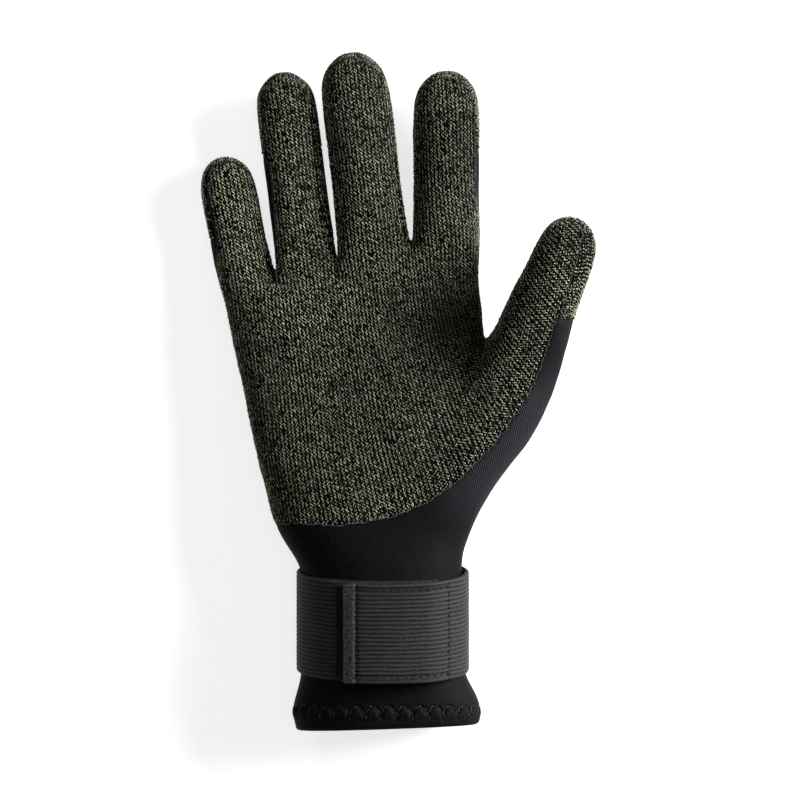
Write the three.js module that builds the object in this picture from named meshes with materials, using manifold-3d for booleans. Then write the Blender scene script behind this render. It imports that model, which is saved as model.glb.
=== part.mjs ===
// A right-hand diving glove that lies on its back, palm up, with its fingers along +Y and its
// thumb towards +X. It is sewn from a knit-faced palm panel, a plain neoprene back panel that
// also makes the thumb's outer side, the wrist and the cuff, and a knit cap on the back of each
// fingertip. An elastic strap winds round the wrist and closes on itself with a hook patch on a
// loop patch. Lengths are in millimetres, +Z is up, and the origin is at the middle of the base.
import * as THREE from "three";
import Module from "manifold-3d";
import { mergeVertices } from "three/addons/utils/BufferGeometryUtils.js";

const wasm = await Module();
wasm.setup();

// Material and clearances
const wall = 3; // laminated neoprene
const seamGap = 0.3; // between panels that are sewn edge to edge
const layerGap = 0.35; // between the layers that lie on each other at the wrist
const facetTolerance = 0.1; // how far facets may be merged off the skin
const seamStep = 6; // spacing of the places where a seam's height is set

// Lengths along the glove: the four zones run from the hem to the ring and middle fingers' fork
const cuffLength = 24.2;
const strapWidth = 40;
const wristLength = 19.8;
const palmLength = 106.4;

// Width at the roots of the fingers and depths of the hand
const handWidth = 105;
const handDepth = 38;

// Hem: the neoprene is folded inwards once
const hemLength = 14;
const lipRound = 2.2;
const lipAngles = [50, 90]; // rings of the round lip, in degrees from the skin

// Fingers: lengths from the ring and middle fingers' fork to each tip along +Y, widths across,
// and leans from +Y in degrees, positive towards the little finger
const littleLength = 39.6;
const littleWidth = 22.2;
const littleLean = 10.9;
const ringLength = 73.2;
const ringWidth = 24;
const ringLean = 7.3;
const middleLength = 81.2;
const middleWidth = 27.4;
const middleLean = 6.9;
const indexLength = 74;
const indexWidth = 26.4;
const indexLean = 0;
const fingerDepthShare = 0.78; // a finger's depth as a share of its width
const tipLift = 8; // how far the middle fingertip curls up from the surface
const curlPower = 1.8;
const tubeSides = 8; // corners of a finger's rings in the cage

// Thumb: from the heel of the hand to the tip along +Y, and from the centre line to the tip along +X
const thumbReach = 122.4;
const thumbSpread = 76.4;
const thumbWidth = 28.4;
const thumbDepth = 26;
const thumbRise = 28.5; // height of the tip's middle

// Knit caps on the backs of the fingertips
const capLength = 31;
const thumbCapLength = 40.4;

// Strap and its closure
const strapThickness = 1.4;
const patchThickness = 0.9;
const patchMargin = 1.5; // between the strap's edge and a patch's
const strapTilt = 0.18; // how much nearer to the hem the strap runs, for each mm of height
// Places round the wrist in degrees from +X through the palm side, where the strap starts,
// leaves the glove, lies on its first turn and ends
const strapStarts = 36;
const strapLeaves = 360;
const strapLands = 408;
const strapEnds = 489;
const loopPatchSpan = [50, 137];
const hookPatchSpan = [58, 124];
const wristSteps = 60; // places round the wrist where its line is measured

const strapBottom = cuffLength;
const strapTop = strapBottom + strapWidth;
const heel = strapTop + wristLength;
const fork = heel + palmLength;
const strapFloor = strapThickness + layerGap;
// Shares of the cuff and of the wrist where the glove starts to rise onto the strap below it, and
// where it starts to come down again
const liftFrom = 0.3;
const liftUntil = 0.45;

// A table's rows as objects, from the names of its columns and the values in each row
function table(columns, ...rows) {
  const names = columns.split(" ");
  return rows.map((row) => Object.fromEntries(names.map((name, i) => [name, row[i]])));
}

// Rows round the hand, from the hem to the fork of the thumb. left and right are the two ends of
// a row: their place along the zone as shares of its length, and their place across as shares of
// handWidth. The heights are shares of handDepth: top and base of the palm, thumbTop and thumbBase
// of the ball of the thumb, leftSide and rightSide of the sides' middles. round is 1 where a row's
// points are spread evenly round it, and 0 where they run into the fingers.
const handRows = table(
  "zone left right leftAt rightAt top thumbTop base thumbBase leftSide rightSide round",
  ["cuff", 0.09, 0.2, -0.333, 0.369, 1, 1, -0.06, -0.06, 0.47, 0.48, 1],
  ["cuff", 0.37, 0.475, -0.341, 0.366, 1.01, 1.01, -0.06, -0.06, 0.47, 0.48, 1],
  ["cuff", 0.73, 0.78, -0.323, 0.333, 1.02, 1.02, -0.02, -0.02, 0.49, 0.5, 1],
  ["strap", 0.155, 0.155, -0.307, 0.3, 1.05, 1.05, 0, 0, 0.52, 0.52, 1],
  ["strap", 0.705, 0.705, -0.307, 0.297, 1.05, 1.05, 0, 0, 0.52, 0.52, 1],
  ["wrist", 0.12, 0.12, -0.322, 0.299, 1.05, 1.04, -0.01, -0.01, 0.51, 0.51, 1],
  ["wrist", 0.85, 0.71, -0.401, 0.327, 1.01, 1.03, -0.08, -0.06, 0.47, 0.49, 0.85],
  ["palm", 0.13, 0.13, -0.45, 0.424, 0.97, 1.05, -0.1, -0.04, 0.45, 0.51, 0.55],
  ["palm", 0.302, 0.287, -0.492, 0.543, 0.91, 1.06, -0.1, 0.04, 0.42, 0.55, 0.25],
  ["palm", 0.486, 0.437, -0.53, 0.628, 0.83, 1.05, -0.1, 0.14, 0.39, 0.6, 0.05],
  ["palm", 0.645, 0.571, -0.565, 0.676, 0.78, 1.02, -0.09, 0.25, 0.37, 0.63, 0],
);

// Rows of the palm above the fork of the thumb, with the same columns
const palmRows = table(
  "left right leftAt rightAt top base leftSide rightSide",
  [0.747, 0.79, -0.587, 0.375, 0.74, -0.08, 0.35, 0.36],
  [0.85, 0.921, -0.611, 0.363, 0.655, -0.07, 0.32, 0.33],
);

// Forks between neighbouring fingers, from the little finger's: shares of handWidth across and of
// palmLength along
const forks = table(
  "across along",
  [-0.411, 0.947],
  [-0.175, 1],
  [0.107, 1.056],
);
const thumbFork = { across: 0.396, along: 0.688, height: 0.45 };
const forkSides = {
  little: { across: -0.641, along: 0.95 },
  index: { across: 0.368, along: 1.068 },
};
const forkDip = 5.5; // how far the web's front and back edges lie below its middle
const rootSwell = 1.12; // depth of the hand at a finger's root as a share of the finger's
const forkDepth = 0.8; // depth at a fork as a share of the depth at a finger's root
const outerDepth = 0.72; // the same at the hand's own sides
const outerInset = 0.13; // how far in that depth lies, as a share of the finger's width

// Points across a row as shares from its left end to its right end, where the rows run into the fingers
const handColumns = [0.02, 0.078, 0.16, 0.25, 0.345, 0.447, 0.55, 0.655, 0.752, 0.873, 0.968];
const palmColumns = [0.026, 0.112, 0.228, 0.34, 0.46, 0.6, 0.742, 0.875, 0.975];
const rowPower = 2.3; // how square a row's section is: 2 is an ellipse

// Hollows pressed into the palm side. across and along are shares of handWidth and of palmLength
// from the heel, reachAcross and reachAlong the same, and deep is a share of handDepth.
const palmHollows = table(
  "across along reachAcross reachAlong deep",
  [-0.02, 0.5, 0.27, 0.36, 0.1],
  [0.3, 0.55, 0.09, 0.13, 0.12],
);

// Rings of a finger: along is a share of the length from its root to the start of its round tip,
// width and depth shares of the finger's own
const fingerRings = table(
  "along width depth",
  [0.34, 1, 1],
  [0.68, 1, 0.97],
  [1, 0.98, 0.93],
);
const tipRoundShare = 0.6; // length of the round fingertip as a share of the finger's width
const tipAngles = [38, 68]; // rings of the round tip, in degrees from its start

// Rings of the thumb above its fork: across and height are shares of thumbSpread and thumbRise,
// along of thumbReach
const thumbRings = table(
  "across along height width depth lean",
  [0.82, 0.675, 0.93, 0.98, 1, 24],
  [0.891, 0.785, 0.97, 0.89, 0.93, 21],
  [0.953, 0.88, 1, 0.83, 0.85, 19],
);
const thumbTipRound = 14.2;

// Where the palm panel's edge crosses the palm side, from the little finger's side of the heel to
// the thumb's tip: across is a share of thumbSpread from the centre line, and along a share of
// thumbReach from the heel
const edgeShares = table(
  "across along",
  [-1.6, -0.005],
  [-0.56, -0.005],
  [-0.32, -0.01],
  [-0.12, -0.005],
  [0.1, 0.028],
  [0.262, 0.078],
  [0.398, 0.137],
  [0.518, 0.212],
  [0.623, 0.284],
  [0.728, 0.386],
  [0.796, 0.464],
  [0.838, 0.539],
  [0.88, 0.618],
  [0.932, 0.693],
  [0.965, 0.765],
  [0.997, 0.827],
  [1.029, 0.905],
  [1.035, 0.955],
  [1.015, 1.003],
  [1, 1.1],
);

const zones = {
  cuff: { from: 0, long: cuffLength },
  strap: { from: strapBottom, long: strapWidth },
  wrist: { from: strapTop, long: wristLength },
  palm: { from: heel, long: palmLength },
};

// The skin is a cage of four-sided faces that is rounded by subdivision

const cage = { points: [], faces: [] };

function addPoint(x, y, z) {
  return cage.points.push(new THREE.Vector3(x, y, z)) - 1;
}

// Faces between two rings of points, the second further along the glove
function bridge(lower, upper) {
  lower.forEach((point, j) => {
    const next = (j + 1) % lower.length;
    cage.faces.push([point, lower[next], upper[next], upper[j]]);
  });
}

function palmHollow(x, y) {
  return palmHollows.reduce((sum, hollow) => {
    const across = (x / handWidth - hollow.across) / hollow.reachAcross;
    const along = ((y - heel) / palmLength - hollow.along) / hollow.reachAlong;
    return sum + hollow.deep * handDepth * Math.exp(-(across ** 2) - along ** 2);
  }, 0);
}

// Points of a row's palm side or back, at shares across it
function rowPoints(row, zone, shares, side) {
  return shares.map((share) => {
    const x = THREE.MathUtils.lerp(row.leftAt, row.rightAt, share) * handWidth;
    const y = zone.from + THREE.MathUtils.lerp(row.left, row.right, share) * zone.long;
    const thumbPart = THREE.MathUtils.smoothstep(share, 0.6, 0.9);
    const middle = THREE.MathUtils.lerp(row.leftSide, row.rightSide, share);
    const top = THREE.MathUtils.lerp(row.top, row.thumbTop ?? row.top, thumbPart);
    const base = THREE.MathUtils.lerp(row.base, row.thumbBase ?? row.base, thumbPart);
    const swell = (1 - Math.abs(2 * share - 1) ** rowPower) ** (1 / rowPower);
    const end = side > 0 ? top : base;
    const z = THREE.MathUtils.lerp(middle, end, swell) * handDepth;
    return addPoint(x, y, z - (side > 0 ? palmHollow(x, y) * swell : 0));
  });
}

function rowSides(row, zone) {
  return [0, 1].map((share) =>
    addPoint(
      THREE.MathUtils.lerp(row.leftAt, row.rightAt, share) * handWidth,
      zone.from + THREE.MathUtils.lerp(row.left, row.right, share) * zone.long,
      THREE.MathUtils.lerp(row.leftSide, row.rightSide, share) * handDepth,
    ),
  );
}

// A row as its palm side from left to right, its right side, its back from right to left and its left side
function addRow(row, zone, columns) {
  const turn = Math.PI / (columns.length + 1);
  const even = columns.map((_, j) => 0.5 - 0.5 * Math.cos((j + 1) * turn));
  const shares = columns.map((share, j) => THREE.MathUtils.lerp(share, even[j], row.round ?? 0));
  const front = rowPoints(row, zone, shares, 1);
  const back = rowPoints(row, zone, shares, -1);
  const [left, right] = rowSides(row, zone);
  return { front, back, left, right };
}

function loop(row) {
  return [...row.front, row.right, ...row.back.toReversed(), row.left];
}

// The seam round a finger lies above the middle of its depth: seamLeft, seamRight and seamTip say
// how far at its sides and tip, as shares of its width. It rises from seamFrom to seamFull, which
// are shares of palmLength from the heel.
const fingers = table(
  "name length width lean seamLeft seamRight seamTip seamFrom seamFull",
  ["little", littleLength, littleWidth, littleLean, 0.243, 0.02, 0.15, 0.84, 1.06],
  ["ring", ringLength, ringWidth, ringLean, 0.217, 0.08, 0.12, 0.98, 1.05],
  ["middle", middleLength, middleWidth, middleLean, 0, 0.09, 0.24, 1.02, 1.1],
  ["index", indexLength, indexWidth, indexLean, 0, 0.254, 0.261, 1.05, 1.3],
);

// How high a finger's middle line lies: it curls up towards the tips
const curlStart = fork - 0.1 * palmLength;
function fingerHeight(finger, y) {
  const share = Math.max((y - curlStart) / (fork + middleLength - curlStart), 0);
  return (finger.width * fingerDepthShare) / 2 + tipLift * share ** curlPower;
}

// Middle of a finger's tip, found from where its sides leave the forks
const forkEnds = [forkSides.little, ...forks, forkSides.index].map(
  (f) => new THREE.Vector2(f.across * handWidth, heel + f.along * palmLength),
);
const outerSide = [1, 0, 0, -1]; // the little and index fingers start at the hand's own side
fingers.forEach((finger, i) => {
  const lean = THREE.MathUtils.degToRad(finger.lean);
  finger.along = new THREE.Vector3(-Math.sin(lean), Math.cos(lean), 0);
  finger.right = new THREE.Vector3(Math.cos(lean), Math.sin(lean), 0);
  finger.across = new THREE.Vector2(finger.right.x, finger.right.y);
  const root = forkEnds[i].clone().lerp(forkEnds[i + 1], 0.5);
  if (outerSide[i]) {
    const side = i ? forkEnds[i + 1] : forkEnds[i];
    root.copy(side).addScaledVector(finger.across, (outerSide[i] * finger.width) / 2);
  }
  finger.root = new THREE.Vector3(root.x, root.y, 0);
  finger.straight = (fork + finger.length - root.y) / finger.along.y - finger.width * tipRoundShare;
});

// Angle of a ring's corner, from +X towards +Z; the first is on top
function cornerAngle(j) {
  return (0.25 - j / tubeSides) * 2 * Math.PI;
}

function fingerRing(finger, distance, width, depth) {
  const middle = finger.root.clone().addScaledVector(finger.along, distance);
  const z = fingerHeight(finger, middle.y);
  return Array.from({ length: tubeSides }, (_, j) => {
    const angle = cornerAngle(j);
    const p = middle.clone().addScaledVector(finger.right, (width / 2) * Math.cos(angle));
    return addPoint(p.x, p.y, z + (depth / 2) * Math.sin(angle));
  });
}

// Closes a tube with faces round its tip, each on two of its sides
function closeTip(ring, tip) {
  for (let j = 0; j < tubeSides; j += 2) {
    cage.faces.push([ring[j], ring[j + 1], ring[(j + 2) % tubeSides], tip]);
  }
}

function addFinger(finger, rootRing) {
  const depth = finger.width * fingerDepthShare;
  let last = rootRing;
  for (const r of fingerRings) {
    const ring = fingerRing(finger, r.along * finger.straight, r.width * finger.width, r.depth * depth);
    bridge(last, ring);
    last = ring;
  }
  const end = fingerRings.at(-1);
  const round = finger.width * tipRoundShare;
  for (const degrees of tipAngles) {
    const angle = degrees * THREE.MathUtils.DEG2RAD;
    const shrink = Math.cos(angle);
    const distance = finger.straight + round * Math.sin(angle);
    const width = end.width * finger.width * shrink;
    const ring = fingerRing(finger, distance, width, end.depth * depth * shrink);
    bridge(last, ring);
    last = ring;
  }
  const middle = finger.root.clone().addScaledVector(finger.along, finger.straight + round);
  closeTip(last, addPoint(middle.x, middle.y, fingerHeight(finger, middle.y)));
}

// Middle and directions of a thumb ring, beyond mm further on
function thumbFrame(r, beyond) {
  const lean = r.lean * THREE.MathUtils.DEG2RAD;
  const along = new THREE.Vector3(Math.sin(lean), Math.cos(lean), 0);
  const right = new THREE.Vector3(Math.cos(lean), -Math.sin(lean), 0);
  const y = heel + r.along * thumbReach;
  const middle = new THREE.Vector3(r.across * thumbSpread, y, r.height * thumbRise);
  return { middle: middle.addScaledVector(along, beyond), right };
}

function thumbRing(r, beyond, shrink) {
  const { middle, right } = thumbFrame(r, beyond);
  const halfWidth = (r.width * thumbWidth * shrink) / 2;
  const halfDepth = (r.depth * thumbDepth * shrink) / 2;
  return Array.from({ length: tubeSides }, (_, j) => {
    const angle = cornerAngle(j);
    const p = middle.clone().addScaledVector(right, halfWidth * Math.cos(angle));
    return addPoint(p.x, p.y, p.z + halfDepth * Math.sin(angle));
  });
}

function addThumb(rootRing) {
  let last = rootRing;
  for (const r of thumbRings) {
    const ring = thumbRing(r, 0, 1);
    bridge(last, ring);
    last = ring;
  }
  const end = thumbRings.at(-1);
  for (const degrees of tipAngles) {
    const angle = degrees * THREE.MathUtils.DEG2RAD;
    const ring = thumbRing(end, thumbTipRound * Math.sin(angle), Math.cos(angle));
    bridge(last, ring);
    last = ring;
  }
  const tip = thumbFrame(end, thumbTipRound).middle;
  closeTip(last, addPoint(tip.x, tip.y, tip.z));
}

// Hand rows up to the thumb's fork
let row = addRow(handRows[0], zones[handRows[0].zone], handColumns);
const firstRow = row;
for (const r of handRows.slice(1)) {
  const next = addRow(r, zones[r.zone], handColumns);
  bridge(loop(row), loop(next));
  row = next;
}

// The thumb's fork
const web = addPoint(
  thumbFork.across * handWidth,
  heel + thumbFork.along * palmLength,
  thumbFork.height * handDepth,
);
const thumbFrom = palmColumns.length;
addThumb([
  ...row.front.slice(thumbFrom),
  row.right,
  ...row.back.slice(thumbFrom - 1).toReversed(),
  web,
  row.front[thumbFrom - 1],
]);
row = {
  front: row.front.slice(0, thumbFrom),
  back: row.back.slice(0, thumbFrom),
  left: row.left,
  right: web,
};

for (const r of palmRows) {
  const next = addRow(r, zones.palm, palmColumns);
  bridge(loop(row), loop(next));
  row = next;
}

// Roots of the fingers
const lastRow = { front: [], back: [] };
const lastFinger = fingers.length - 1;
const webs = forkEnds.map((end, i) => {
  const finger = fingers[Math.min(i, lastFinger)];
  return addPoint(end.x, end.y, fingerHeight(finger, end.y));
});
for (const [side, list] of [[1, lastRow.front], [-1, lastRow.back]]) {
  for (let j = 0; j < palmColumns.length; j++) {
    const i = Math.floor(j / 2);
    const finger = fingers[Math.min(i, lastFinger)];
    const atFork = j % 2 === 0;
    const outer = j === 0 || j === palmColumns.length - 1;
    const place = atFork ? forkEnds[i].clone() : new THREE.Vector2(finger.root.x, finger.root.y);
    if (outer) place.addScaledVector(finger.across, (j ? -1 : 1) * finger.width * outerInset);
    if (atFork && !outer) place.y -= forkDip;
    const beside = atFork && !outer ? fingers[i - 1] : finger;
    const rootDepth = ((finger.width + beside.width) / 2) * fingerDepthShare * rootSwell;
    const share = outer ? outerDepth : atFork ? forkDepth : 1;
    const z = fingerHeight(finger, place.y) + (side * rootDepth * share) / 2;
    list.push(addPoint(place.x, place.y, z));
  }
}
const rootRow = { ...lastRow, left: webs[0], right: webs.at(-1) };
bridge(loop(row), loop(rootRow));
fingers.forEach((finger, i) => {
  const f = rootRow.front;
  const b = rootRow.back;
  const j = 2 * i;
  addFinger(finger, [f[j + 1], f[j + 2], webs[i + 1], b[j + 2], b[j + 1], b[j], webs[i], f[j]]);
});

// Neighbours of each point: along edges, across faces, and along the open edge
function neighbours(mesh) {
  const around = mesh.points.map(() => ({ edge: new Set(), across: [], open: [] }));
  const uses = new Map();
  for (const face of mesh.faces) {
    face.forEach((point, k) => {
      const next = face[(k + 1) % 4];
      around[point].edge.add(next);
      around[next].edge.add(point);
      around[point].across.push(face[(k + 2) % 4]);
      const name = Math.min(point, next) + "," + Math.max(point, next);
      uses.set(name, (uses.get(name) ?? 0) + 1);
    });
  }
  for (const [name, count] of uses) {
    if (count > 1) continue;
    const [a, b] = name.split(",").map(Number);
    around[a].open.push(b);
    around[b].open.push(a);
  }
  return around;
}

function weighted(points, terms) {
  const sum = new THREE.Vector3();
  for (const [index, weight] of terms) sum.addScaledVector(points[index], weight);
  return sum;
}

// Places on the rounded skin that the points of a cage lead to
function limitPoints(mesh, around) {
  return mesh.points.map((_, i) => {
    const { edge, across, open } = around[i];
    if (open.length) {
      return weighted(mesh.points, [[i, 4 / 6], [open[0], 1 / 6], [open[1], 1 / 6]]);
    }
    const n = edge.size;
    const share = 1 / (n * (n + 5));
    return weighted(mesh.points, [
      [i, n * n * share],
      ...[...edge].map((j) => [j, 4 * share]),
      ...across.map((j) => [j, share]),
    ]);
  });
}

// One step of subdivision into smaller four-sided faces
function subdivide(mesh) {
  const around = neighbours(mesh);
  const middles = mesh.faces.map((face) => weighted(mesh.points, face.map((p) => [p, 0.25])));
  const edges = new Map();
  mesh.faces.forEach((face, f) => {
    face.forEach((point, k) => {
      const next = face[(k + 1) % 4];
      const name = Math.min(point, next) + "," + Math.max(point, next);
      if (!edges.has(name)) edges.set(name, { ends: [point, next], faces: [] });
      edges.get(name).faces.push(f);
    });
  });
  const touching = mesh.points.map(() => []);
  mesh.faces.forEach((face, f) => face.forEach((p) => touching[p].push(f)));
  const points = mesh.points.map((point, i) => {
    const { edge, open } = around[i];
    if (open.length) {
      return weighted(mesh.points, [[i, 0.75], [open[0], 0.125], [open[1], 0.125]]);
    }
    const n = edge.size;
    const sum = point.clone().multiplyScalar((n - 2) / n);
    for (const j of edge) sum.addScaledVector(mesh.points[j], 1 / (n * n));
    for (const f of touching[i]) sum.addScaledVector(middles[f], 1 / (n * n));
    return sum;
  });
  for (const e of edges.values()) {
    e.index = points.length;
    const middle = weighted(mesh.points, e.ends.map((p) => [p, 0.5]));
    if (e.faces.length === 2) {
      middle.multiplyScalar(0.5);
      for (const f of e.faces) middle.addScaledVector(middles[f], 0.25);
    }
    points.push(middle);
  }
  const firstMiddle = points.length;
  points.push(...middles);
  const faces = [];
  mesh.faces.forEach((face, f) => {
    const between = face.map((point, k) => {
      const next = face[(k + 1) % 4];
      return edges.get(Math.min(point, next) + "," + Math.max(point, next)).index;
    });
    face.forEach((point, k) => {
      faces.push([point, between[k], firstMiddle + f, between[(k + 3) % 4]]);
    });
  });
  return { points, faces };
}

// Move the cage until its rounded skin passes through the places named above
const targets = cage.points.map((p) => p.clone());
const cageAround = neighbours(cage);
const fitPasses = 14;
for (let pass = 0; pass < fitPasses; pass++) {
  limitPoints(cage, cageAround).forEach((p, i) => cage.points[i].add(targets[i]).sub(p));
}
const fine = subdivide(cage);
const skin = { faces: fine.faces, points: limitPoints(fine, neighbours(fine)) };

// Solids

function solidFrom(geometry) {
  const bare = new THREE.BufferGeometry();
  bare.setAttribute("position", geometry.attributes.position);
  bare.setIndex(geometry.index);
  const merged = mergeVertices(bare, 1e-4);
  return new wasm.Manifold(
    new wasm.Mesh({
      numProp: 3,
      vertProperties: merged.attributes.position.array,
      triVerts: new Uint32Array(merged.index.array),
    }),
  );
}

function geometryFrom(solid) {
  const mesh = solid.simplify(facetTolerance).getMesh();
  const geometry = new THREE.BufferGeometry();
  geometry.setAttribute("position", new THREE.BufferAttribute(mesh.vertProperties, 3));
  geometry.setIndex(new THREE.BufferAttribute(mesh.triVerts, 1));
  return geometry;
}

function geometryOf(points, faces) {
  const geometry = new THREE.BufferGeometry();
  const places = points.flatMap((p) => p.toArray());
  geometry.setAttribute("position", new THREE.Float32BufferAttribute(places, 3));
  geometry.setIndex(faces.flatMap(([a, b, c, d]) => [a, b, c, a, c, d]));
  return geometry;
}

// The skin is pressed flat where it rests: on the surface, or on the strap below the wrist
function floorAt(y) {
  const risen = THREE.MathUtils.smoothstep(y, liftFrom * cuffLength, cuffLength);
  const fallen = THREE.MathUtils.smoothstep(y, strapTop + liftUntil * wristLength, heel);
  return strapFloor * (risen - fallen);
}
const outer = skin.points.map((p) => new THREE.Vector3(p.x, p.y, Math.max(p.z, floorAt(p.y))));
const outerGeometry = geometryOf(outer, skin.faces);
outerGeometry.computeVertexNormals();
const skinNormals = outerGeometry.attributes.normal;
const normals = outer.map((_, i) => new THREE.Vector3().fromBufferAttribute(skinNormals, i));
const inner = outer.map((p, i) => {
  const thickness = wall * (2 - THREE.MathUtils.smoothstep(p.y, hemLength - wall, hemLength + wall));
  const place = p.clone().addScaledVector(normals[i], -thickness);
  return place.setZ(Math.max(place.z, floorAt(p.y) + thickness));
});

// Wall of the whole glove: outer skin, inner skin and the round lip of the hem between them
function wholeWall() {
  const hem = loop(firstRow);
  const around = neighbours(skin);
  const edge = [hem[0]];
  let point = around[hem[0]].open.find((p) => around[p].open.includes(hem[1]));
  while (point !== hem[0]) {
    edge.push(point);
    point = around[point].open.find((p) => p !== edge.at(-2));
  }
  const points = [...outer, ...inner];
  const turned = skin.faces.map(([a, b, c, d]) => [d, c, b, a].map((p) => p + outer.length));
  const faces = [...skin.faces, ...turned];
  const lipRing = (base, side, degrees) =>
    edge.map((p) => {
      const angle = degrees * THREE.MathUtils.DEG2RAD;
      const over = side * lipRound * (1 - Math.cos(angle));
      const place = base[p].clone().addScaledVector(normals[p], over);
      place.y -= lipRound * Math.sin(angle);
      return points.push(place) - 1;
    });
  const rings = [
    edge.map((p) => p + outer.length),
    ...lipAngles.map((degrees) => lipRing(inner, 1, degrees)),
    ...lipAngles.toReversed().map((degrees) => lipRing(outer, -1, degrees)),
    edge,
  ];
  for (let i = 1; i < rings.length; i++) {
    rings[i].forEach((p, j) => {
      const next = (j + 1) % edge.length;
      faces.push([rings[i - 1][j], rings[i - 1][next], rings[i][next], p]);
    });
  }
  return solidFrom(geometryOf(points, faces));
}

// Height of the seam along the sides of the hand and fingers, and along the thumb's
function heightBetween(places, y) {
  const i = THREE.MathUtils.clamp(places.findIndex(([at]) => at > y) - 1, 0, places.length - 2);
  const share = THREE.MathUtils.clamp((y - places[i][0]) / (places[i + 1][0] - places[i][0]), 0, 1);
  return THREE.MathUtils.lerp(places[i][1], places[i + 1][1], share);
}
const rootsAt = handRows.findIndex((r) => r.zone === "wrist") + 1;
const sideHeights = [...handRows.slice(rootsAt), ...palmRows].map((r) => {
  const zone = zones[r.zone] ?? zones.palm;
  return [zone.from + r.left * zone.long, r.leftSide * handDepth];
});
sideHeights.push([forkEnds[0].y, fingerHeight(fingers[1], forkEnds[0].y)], [2 * fork, 0]);
const ballRows = handRows.filter((r) => r.zone === "palm");
const thumbHeights = [
  ...ballRows.map((r) => [heel + r.right * palmLength, r.rightSide * handDepth]),
  ...thumbRings.map((r) => [heel + r.along * thumbReach, r.height * thumbRise]),
  [2 * fork, thumbRise],
];

// How far the seam lies above the middle of the nearest finger's depth
function seamLift(x, y) {
  const places = fingers.map((finger) => {
    const from = new THREE.Vector3(x, y, 0).sub(finger.root);
    const across = from.dot(finger.right) / (finger.width / 2);
    return { finger, across, along: from.dot(finger.along) };
  });
  places.sort((a, b) => Math.abs(a.across) - Math.abs(b.across));
  const { finger, across, along } = places[0];
  const share = THREE.MathUtils.clamp(across, -1, 1) / 2 + 0.5;
  const side = THREE.MathUtils.lerp(finger.seamLeft, finger.seamRight, share);
  const tipPart = THREE.MathUtils.smoothstep(
    along,
    finger.straight,
    finger.straight + tipRoundShare * finger.width,
  );
  const risen = THREE.MathUtils.smoothstep(
    y,
    heel + finger.seamFrom * palmLength,
    heel + finger.seamFull * palmLength,
  );
  return THREE.MathUtils.lerp(side, finger.seamTip, tipPart) * finger.width * risen;
}

function seamHeight(x, y) {
  const level = y < forkEnds[0].y ? heightBetween(sideHeights, y) : fingerHeight(fingers[1], y);
  const hand = level + seamLift(x, y);
  const opened = THREE.MathUtils.smoothstep(y, heel, heel + thumbFork.along * palmLength);
  const from = THREE.MathUtils.lerp(0, forkSides.index.across, opened) * handWidth;
  const thumbPart = THREE.MathUtils.smoothstep(x, from, thumbFork.across * handWidth + forkDip);
  return THREE.MathUtils.lerp(hand, heightBetween(thumbHeights, y), thumbPart);
}

// Everything that lies on the palm's side of the seam, drawn in by a little
function palmSide(drawnIn) {
  const far = 2 * handWidth;
  const reach = thumbSpread + thumbWidth / 2;
  const columns = [-far, far];
  for (let x = -reach; x < reach; x += seamStep) columns.push(x);
  columns.sort((a, b) => a - b);
  const long = fork + 1.4 * middleLength - strapBottom;
  const rows = Math.ceil(long / (2 * seamStep));
  const sheet = new THREE.BoxGeometry(1, 1, 1, columns.length - 1, rows, 1);
  const place = sheet.attributes.position;
  for (let i = 0; i < place.count; i++) {
    const x = columns[Math.round((place.getX(i) + 0.5) * (columns.length - 1))];
    const y = strapBottom + (place.getY(i) + 0.5) * long;
    place.setXYZ(i, x, y, place.getZ(i) > 0 ? far : seamHeight(x, y) + drawnIn);
  }
  const curve = new THREE.SplineCurve(
    edgeShares.map((e) => new THREE.Vector2(e.across * thumbSpread, heel + e.along * thumbReach)),
  );
  const outline = curve.getPoints(3 * edgeShares.length).map((p, i, all) => {
    const ahead = all[Math.min(i + 1, all.length - 1)].clone();
    ahead.sub(all[Math.max(i - 1, 0)]).normalize();
    return new THREE.Vector2(p.x - ahead.y * drawnIn, p.y + ahead.x * drawnIn);
  });
  outline.push(
    new THREE.Vector2(outline.at(-1).x, 2 * far),
    new THREE.Vector2(outline[0].x, 2 * far),
  );
  const shape = new THREE.Shape(outline);
  const column = new THREE.ExtrudeGeometry(shape, { depth: 2 * far, bevelEnabled: false });
  column.translate(0, 0, -far);
  column.setIndex(Array.from({ length: column.attributes.position.count }, (_, i) => i));
  return solidFrom(sheet).intersect(solidFrom(column));
}

// Region past a line across a finger or thumb, drawn in by a little
function pastLine(middle, lean, halfWidth, drawnIn) {
  const long = middleLength;
  const box = new THREE.BoxGeometry(2 * halfWidth, long, 4 * handDepth);
  box.translate(0, long / 2 + drawnIn, 0);
  box.rotateZ(lean * THREE.MathUtils.DEG2RAD);
  box.translate(middle.x, middle.y, 0);
  return solidFrom(box);
}

const glove = wholeWall();
const half = seamGap / 2;
const palm = glove.intersect(palmSide(half));
let back = glove.subtract(palmSide(-half));
const caps = {};
for (const finger of fingers) {
  const distance = finger.straight + finger.width * tipRoundShare - capLength;
  const start = finger.root.clone().addScaledVector(finger.along, distance);
  const halfWidth = finger.width / 2 + 1;
  caps[finger.name] = back.intersect(pastLine(start, finger.lean, halfWidth, half));
  back = back.subtract(pastLine(start, finger.lean, halfWidth, -half));
}
const thumbEnd = thumbFrame(thumbRings.at(-1), thumbTipRound).middle;
const betweenForks = ((forkSides.index.across + thumbFork.across) / 2) * handWidth + wall;
const thumbCapHalf = thumbEnd.x + thumbWidth / 2 - betweenForks;
const thumbCapAt = new THREE.Vector3(betweenForks + thumbCapHalf, thumbEnd.y - thumbCapLength, 0);
caps.thumb = back.intersect(pastLine(thumbCapAt, 0, thumbCapHalf, half));
back = back.subtract(pastLine(thumbCapAt, 0, thumbCapHalf, -half));

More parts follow.
